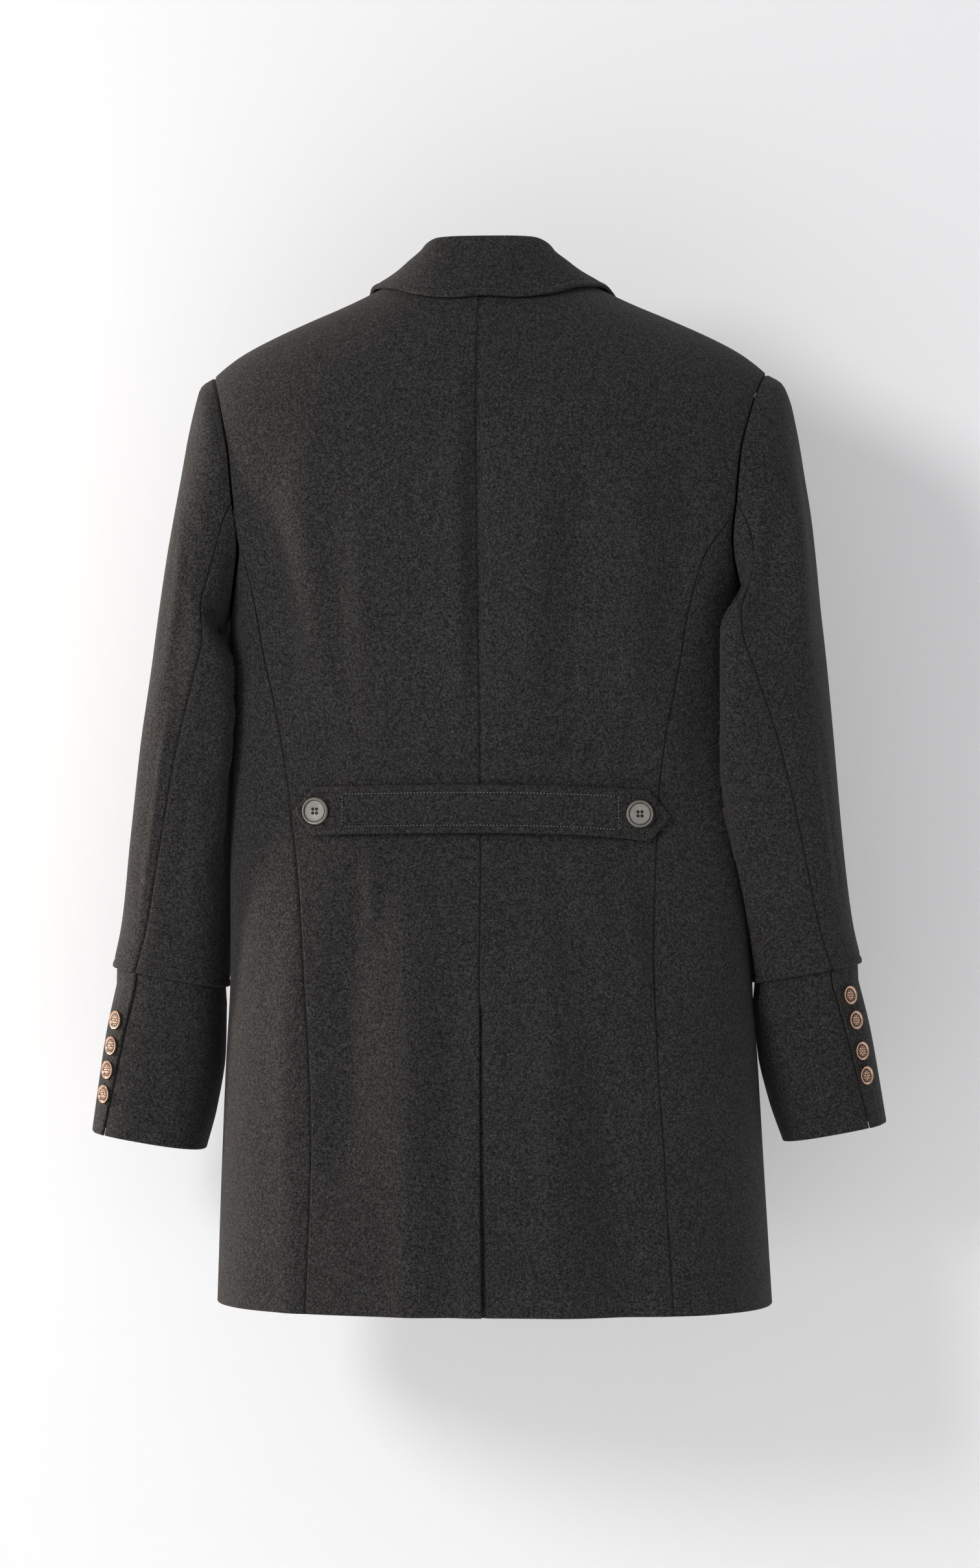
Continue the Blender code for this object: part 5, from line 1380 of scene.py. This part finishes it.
def belt_points(grid_u, grid_v):
    """(outer, inner, normal) of the half belt for places u along it and v across it."""
    reach = np.where(grid_u > 0, BELT_LEFT_X, BELT_RIGHT_X)
    x = grid_u * (reach - BELT_POINT * np.abs(grid_v) * np.abs(grid_u) ** 3)
    droop = np.where(grid_u > 0, BELT_DROOP_LEFT, BELT_DROOP_RIGHT) * np.abs(grid_u) ** 2
    z = BELT_Z - droop + grid_v * (BELT_HALF_HEIGHT + BELT_FLARE * np.clip(-grid_u, 0, 1) ** 4)
    plain = stack(np.abs(x), depth_at(np.abs(x), z, True), z)
    normal, _ = form_normal(plain)
    flip = np.stack([np.where(x < 0, -1.0, 1.0), np.ones_like(x), np.ones_like(x)], axis=-1)
    plain, normal = plain * flip, normal * flip
    fold = np.clip(body_fold(plain), 0, None)
    stand = BELT_GAP + BELT_RISE * (0.35 - 0.65 * grid_v) * (1 - np.abs(grid_u) ** 3)
    inner = plain + normal * (fold + np.maximum(stand, BELT_GAP))[..., None]
    inner[..., 0] += BODY.read("sway", plain[..., 2])
    return inner + normal * BELT_CLOTH, inner, normal


BELT_SEW_X = (0.117, -0.114)
BELT_SEW_IN = 0.043
BELT_SLANT = 0.75
BELT_MEAN_X = 0.158
THREAD_LIFT = 0.0001


def make_belt():
    v = spread(2 * BELT_HALF_HEIGHT, 20, True, True, (SEW_IN, -SEW_IN)) * 2 - 1
    u = spread(BELT_LEFT_X + BELT_RIGHT_X, 150, True, True, (BELT_SEW_IN, -BELT_SEW_IN)) * 2 - 1
    grid_u, grid_v = np.meshgrid(u, v)
    outer, inner, normal = belt_points(grid_u, grid_v)
    names = (("first_row", 1.0), ("last_row", 1.0), ("first_col", BELT_SLANT), ("last_col", BELT_SLANT))
    d = np.minimum.reduce([distance_from(outer, name) * slant for name, slant in names])
    dip = 0.0007 * np.exp(-(((d - SEW_IN) / 0.0012) ** 2))
    puff = 0.0007 * np.sin(np.pi * np.clip(d / SEW_IN, 0, 1))
    for at in BELT_SEW_X:
        dip = dip + 0.0005 * np.exp(-(((outer[..., 0] - at) / 0.0011) ** 2)) * (np.abs(grid_v) < 0.72)
    outer += normal * (puff - dip)[..., None]
    finish_edges(outer, inner, normal, [(name, "edge", 1) for name, _ in names])
    made = shell("half_belt", outer, inner, WOOL, "half_belt")
    declare(made, inner, "laid", ["back_left", "back_right"])

    inside = 1 - SEW_IN / BELT_HALF_HEIGHT
    end = 1 - SEW_IN / BELT_SLANT / BELT_LEFT_X
    long, short = np.linspace(-end, end, 240), np.linspace(-inside, inside, 30)
    along = [(long, 0 * long + inside), (long, 0 * long - inside)]
    for u, v in along + [(0 * short + end, short), (0 * short - end, short)]:
        line, _, lift = belt_points(u, v)
        left, right = line[:, 0] >= BELT_SEW_X[0], line[:, 0] <= BELT_SEW_X[1]
        for kind, part in (("belt", ~(left | right)), ("coat", left), ("coat", right)):
            if part.sum() > 1:
                sew(kind, line[part] + lift[part] * THREAD_LIFT, lift[part])
    for at in BELT_SEW_X:
        u = 0 * short + at / BELT_MEAN_X
        for _ in range(6):
            reach = np.where(u > 0, BELT_LEFT_X, BELT_RIGHT_X)
            u = at / (reach - BELT_POINT * np.abs(short) * np.abs(u) ** 3)
        line, _, lift = belt_points(u, short)
        sew("belt", line + lift * THREAD_LIFT, lift)


# Buttons
PETAL_FLOOR = 0.0019
BUTTON_TURNS = 48
HOLE_TURNS = 16


def turned(name, outline, look, at, axis, turns=BUTTON_TURNS, nodes=(), slot="gilt"):
    """A turned solid: outline is (radius, height) from the top's middle to the bottom's."""
    axis = Vector(axis).normalized()
    spin = axis.to_track_quat("Z", "Y").to_matrix()
    points, faces, rings = [], [], []
    for r, h in outline:
        count = 1 if r == 0 else turns
        rings.append(range(len(points), len(points) + count))
        for k in range(count):
            turn = 2 * math.pi * k / turns
            points.append(Vector(at) + spin @ Vector((r * math.cos(turn), r * math.sin(turn), h)))
    for high, low in zip(rings[:-1], rings[1:]):
        for k in range(turns):
            n = (k + 1) % turns
            ring_face = [low[k % len(low)], low[n % len(low)], high[n % len(high)], high[k % len(high)]]
            faces.append(tuple(dict.fromkeys(ring_face)))
    mesh = smooth_mesh(name, points, faces)
    mesh.set_sharp_from_angle(angle=math.radians(38))
    return link(name, mesh, look, *nodes, slot=slot)


def bumps(name, places, look, at, axis, slot="gilt"):
    """Small domes on a button's face. Each place is (x, y, turn, half length, half width, height,
    height of its foot)."""
    spin = Vector(axis).normalized().to_track_quat("Z", "Y").to_matrix()
    points, faces = [], []
    rings, sides = 4, 10
    for x, y, turn, long, wide, high, floor in places:
        base = len(points)
        for ring_at in range(rings):
            rise = math.pi / 2 * ring_at / rings
            for k in range(sides):
                a = 2 * math.pi * k / sides
                px, py = long * math.cos(a) * math.cos(rise), wide * math.sin(a) * math.cos(rise)
                c, s = math.cos(turn), math.sin(turn)
                local = Vector((x + px * c - py * s, y + px * s + py * c, floor + high * math.sin(rise)))
                points.append(Vector(at) + spin @ local)
        points.append(Vector(at) + spin @ Vector((x, y, floor + high)))
        faces += ring_faces(base, rings, sides)
        last = base + (rings - 1) * sides
        faces += [(last + k, last + (k + 1) % sides, base + rings * sides) for k in range(sides)]
        faces.append(tuple(base + k for k in reversed(range(sides))))
    return link(name, smooth_mesh(name, points, faces), look, slot=slot)


def round_places(count, away, half_step, lean, long, wide, high, floor):
    """Bumps in a ring round a button's middle, each turned to point away from it and leaned."""
    places = []
    for p in range(count):
        a = 2 * math.pi * (p + half_step) / count
        places.append((away * math.cos(a), away * math.sin(a), a + lean, long, wide, high, floor))
    return places


def gilt_button(name, at, axis, radius):
    """A gilt button with a rope rim, a dark ground and a generic eight-petal flower."""
    r, k = radius, radius / CUFF_BUTTON_R
    high = k**0.5
    rim = [(0, 0.0018), (0.74 * r, 0.0018), (0.80 * r, 0.0021), (0.85 * r, 0.0026 * high)]
    rim += [(0.93 * r, 0.0026 * high), (0.985 * r, 0.0027 * high), (1.0 * r, 0.0020)]
    rim += [(0.985 * r, 0.0012), (0.86 * r, 0.0004), (0, 0.0003)]
    turned(name, rim, GILT, at, axis, nodes=(name,))
    ground = [(0, 0.00195), (0.755 * r, 0.00195), (0.76 * r, 0.0017), (0, 0.0017)]
    turned(name + "_ground", ground, GROUND, at, axis)
    petals = round_places(8, 0.36 * r, 0, 0, 0.20 * r, 0.105 * r, 0.00085 * k, PETAL_FLOOR)
    petals += round_places(8, 0.56 * r, 0.5, 0, 0.07 * r, 0.07 * r, 0.0006 * k, PETAL_FLOOR)
    petals.append((0, 0, 0, 0.13 * r, 0.13 * r, 0.0011 * k, PETAL_FLOOR))
    beads = round_places(30, 0.90 * r, 0, 0.6, 0.085 * r, 0.045 * r, 0.0005 * k, 0.0024 * high)
    bumps(name + "_flower", petals + beads, GILT, at, axis)


def horn_button(name, at, axis, radius):
    """A grey four-hole button: a rounded rim, a dark groove inside it and a paler disc."""
    r = radius
    body = [(0, 0.0020), (0.76 * r, 0.0020), (0.77 * r, 0.0018), (0.83 * r, 0.0018), (0.86 * r, 0.0034)]
    body += [(0.90 * r, 0.0038), (0.94 * r, 0.0036), (0.985 * r, 0.0026), (r, 0.0014)]
    body += [(0.97 * r, 0.0006), (0.85 * r, 0.0002), (0, 0.0)]
    turned(name, body, HORN, at, axis, nodes=(name,), slot="horn")
    rim = [(0.85 * r, 0.0034), (0.88 * r, 0.0039), (0.92 * r, 0.0040), (0.965 * r, 0.0036), (r, 0.0026)]
    rim += [(1.01 * r, 0.0016), (0.99 * r, 0.0010), (0.94 * r, 0.0012), (0.87 * r, 0.0028)]
    rim.append((0.85 * r, 0.0034))
    turned(name + "_rim", rim, HORN_RIM, at, axis, slot="horn")
    disc = [(0, 0.00255), (0.40 * r, 0.0026), (0.66 * r, 0.0030), (0.74 * r, 0.0029)]
    disc += [(0.765 * r, 0.0022), (0, 0.0019)]
    turned(name + "_disc", disc, PEARL, at, axis, slot="horn")
    spin = Vector(axis).normalized().to_track_quat("Z", "Y").to_matrix()
    # Each hole is a flat near-black disc on the face, not a cut hole: painted shade of the hole together
    # with the thread in it
    for k in range(4):
        a = math.pi / 4 + k * math.pi / 2
        where = Vector(at) + spin @ Vector((0.21 * r * math.cos(a), 0.21 * r * math.sin(a), 0))
        hole = [(0, 0.00265), (0.10 * r, 0.00270), (0.125 * r, 0.0026), (0.125 * r, 0.0022), (0, 0.0022)]
        turned(f"{name}_hole_{k + 1}", hole, HOLE_SHADE_AND_THREAD, where, axis, HOLE_TURNS, slot="horn")


def belt_button_places():
    u = np.linspace(-1, 1, 2001)
    outer, _, normal = belt_points(u, 0 * u)
    left, right = BELT_LEFT_X - BELT_BUTTON_INSET_LEFT, BELT_BUTTON_INSET_RIGHT - BELT_RIGHT_X
    for word, at in (("left", left), ("right", right)):
        k = int(np.argmin(np.abs(outer[:, 0] - at)))
        yield word, outer[k], normal[k]


def make_buttons():
    for word, at, normal in belt_button_places():
        horn_button(f"belt_button_{word}", at + normal * BUTTON_GAP, normal, BELT_BUTTON_R)
    for name, at, normal in cuff_button_places():
        gilt_button(name, at, normal, CUFF_BUTTON_R)
    for name, at, normal in front_button_places():
        gilt_button(name, at, normal, FRONT_BUTTON_R)


def cuff_button_places():
    for side, word in SIDES:

        def form(along, at):
            return cuff_ring(side, along, at)

        for k, z in enumerate(CUFF_BUTTON_Z[word]):
            low, high = 0.0, 1.0
            for _ in range(30):
                middle = (low + high) / 2
                if form(middle, CUFF_BUTTON_DEG)[2] > z:
                    low = middle
                else:
                    high = middle
            normal = grid_normals(form, low, np.array([CUFF_BUTTON_DEG]))[0]
            flip = mirror(side)
            at = form(low, CUFF_BUTTON_DEG) + normal * (BUTTON_GAP + 0.0004)
            yield f"cuff_button_{word}_{k + 1}", at * flip, normal * flip


def front_button_places():
    for k in range(FRONT_BUTTON_ROWS):
        z = FRONT_BUTTON_TOP_Z - k * FRONT_BUTTON_PITCH
        for word, x in (("left", FRONT_BUTTON_X), ("right", -FRONT_BUTTON_X)):
            side = 1 if x > 0 else -1
            point = stack(abs(x), -depth_at(abs(x), z, False), z)[None]
            outer, _, normal = drape(point, side, CLOTH + LAP_GAP)
            yield f"front_button_{word}_{k + 1}", outer[0] + normal[0] * BUTTON_GAP, normal[0]


make_backs()
make_sides()
make_fronts()
make_sleeves()
make_cuffs()
make_collar()
make_lapels()
make_belt()
make_buttons()
thread_mesh("belt_stitches", THREADS["belt"], THREAD)
thread_mesh("coat_stitches", THREADS["coat"], DARK_THREAD)
for made, points, held, rests_on, present in SHEETS:
    width, length, area = cut_size(points, present)
    width, length = width + CUT_SPARE, length + CUT_SPARE
    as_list(rests_on)


# Stage, light and camera
AIM = Vector((0.0, 0.0, -0.422))
CAMERA_AWAY = 4.2
CAMERA_TURN = math.radians(4.5)
FRAME_HEIGHT = 1.343
WALL_Y = -0.20
FLOOR_Z = -1.45
STAGE_HALF = 6
STAGE_TOP = 3
STAGE_DEPTH = 8
WALL_GLOW = 0.22
SENSOR = 36


def plane(name, corners, look):
    mesh = bpy.data.meshes.new(name)
    mesh.from_pydata(corners, [], [(0, 1, 2, 3)])
    made = bpy.data.objects.new(name, mesh)
    bpy.context.scene.collection.objects.link(made)
    mesh.materials.append(look)
    return made


def paper_look(name, colour):
    """Pale paint that is see-through from behind, so other views aren't shut off by the wall."""
    made, tree, shader = nodes_of(name)
    shader.inputs["Base Color"].default_value = (*colour, 1.0)
    shader.inputs["Roughness"].default_value = 0.9
    shader.inputs["Emission Color"].default_value = (0.95, 0.97, 1.0, 1.0)
    shader.inputs["Emission Strength"].default_value = WALL_GLOW
    clear = tree.nodes.new("ShaderNodeBsdfTransparent")
    mix = tree.nodes.new("ShaderNodeMixShader")
    facing = tree.nodes.new("ShaderNodeNewGeometry").outputs["Backfacing"]
    tree.links.new(facing, mix.inputs[0])
    tree.links.new(shader.outputs[0], mix.inputs[1])
    tree.links.new(clear.outputs[0], mix.inputs[2])
    tree.links.new(mix.outputs[0], tree.nodes["Material Output"].inputs["Surface"])
    return made


def area_light(name, at, aim, size, power, colour):
    data = bpy.data.lights.new(name, "AREA")
    data.shape = "DISK"
    data.size = size
    data.energy = power
    data.color = colour
    made = bpy.data.objects.new(name, data)
    bpy.context.scene.collection.objects.link(made)
    made.location = at
    made.rotation_euler = (Vector(aim) - Vector(at)).to_track_quat("-Z", "Y").to_euler()
    return made


low = [(x, WALL_Y, FLOOR_Z) for x in (-STAGE_HALF, STAGE_HALF)]
high = [(x, WALL_Y, STAGE_TOP) for x in (-STAGE_HALF, STAGE_HALF)]
fore = [(x, STAGE_DEPTH, FLOOR_Z) for x in (STAGE_HALF, -STAGE_HALF)]
wall = plane("backdrop", low[::-1] + high, paper_look("wall_paint", (0.80, 0.80, 0.81)))
plane("floor", low + fore, paper_look("floor_paint", (0.8, 0.8, 0.8)))
wall.visible_shadow = False
area_light("key", (2.1, 2.8, 0.85), (0, 0, -0.4), 1.1, 62, (1.0, 0.995, 0.99))
area_light("side", (1.3, -0.08, -0.25), (0.1, 0.0, -0.35), 0.16, 14, (1.0, 0.88, 0.76))
area_light("rim", (-2.6, 0.9, 0.6), (0, 0, -0.4), 1.4, 4, (0.92, 0.95, 1.0))

world = bpy.context.scene.world or bpy.data.worlds.new("world")
bpy.context.scene.world = world
world.use_nodes = True
world.node_tree.nodes["Background"].inputs["Color"].default_value = (1.0, 1.0, 1.0, 1.0)
world.node_tree.nodes["Background"].inputs["Strength"].default_value = 0.30

camera = bpy.data.objects.new("camera", bpy.data.cameras.new("camera"))
bpy.context.scene.collection.objects.link(camera)
camera.location = AIM + Vector((-math.sin(CAMERA_TURN), math.cos(CAMERA_TURN), 0)) * CAMERA_AWAY
camera.rotation_euler = (AIM - camera.location).to_track_quat("-Z", "Y").to_euler()
camera.data.sensor_width = SENSOR
camera.data.lens = SENSOR * CAMERA_AWAY / FRAME_HEIGHT
bpy.context.scene.camera = camera
bpy.context.scene.view_settings.view_transform = "Standard"
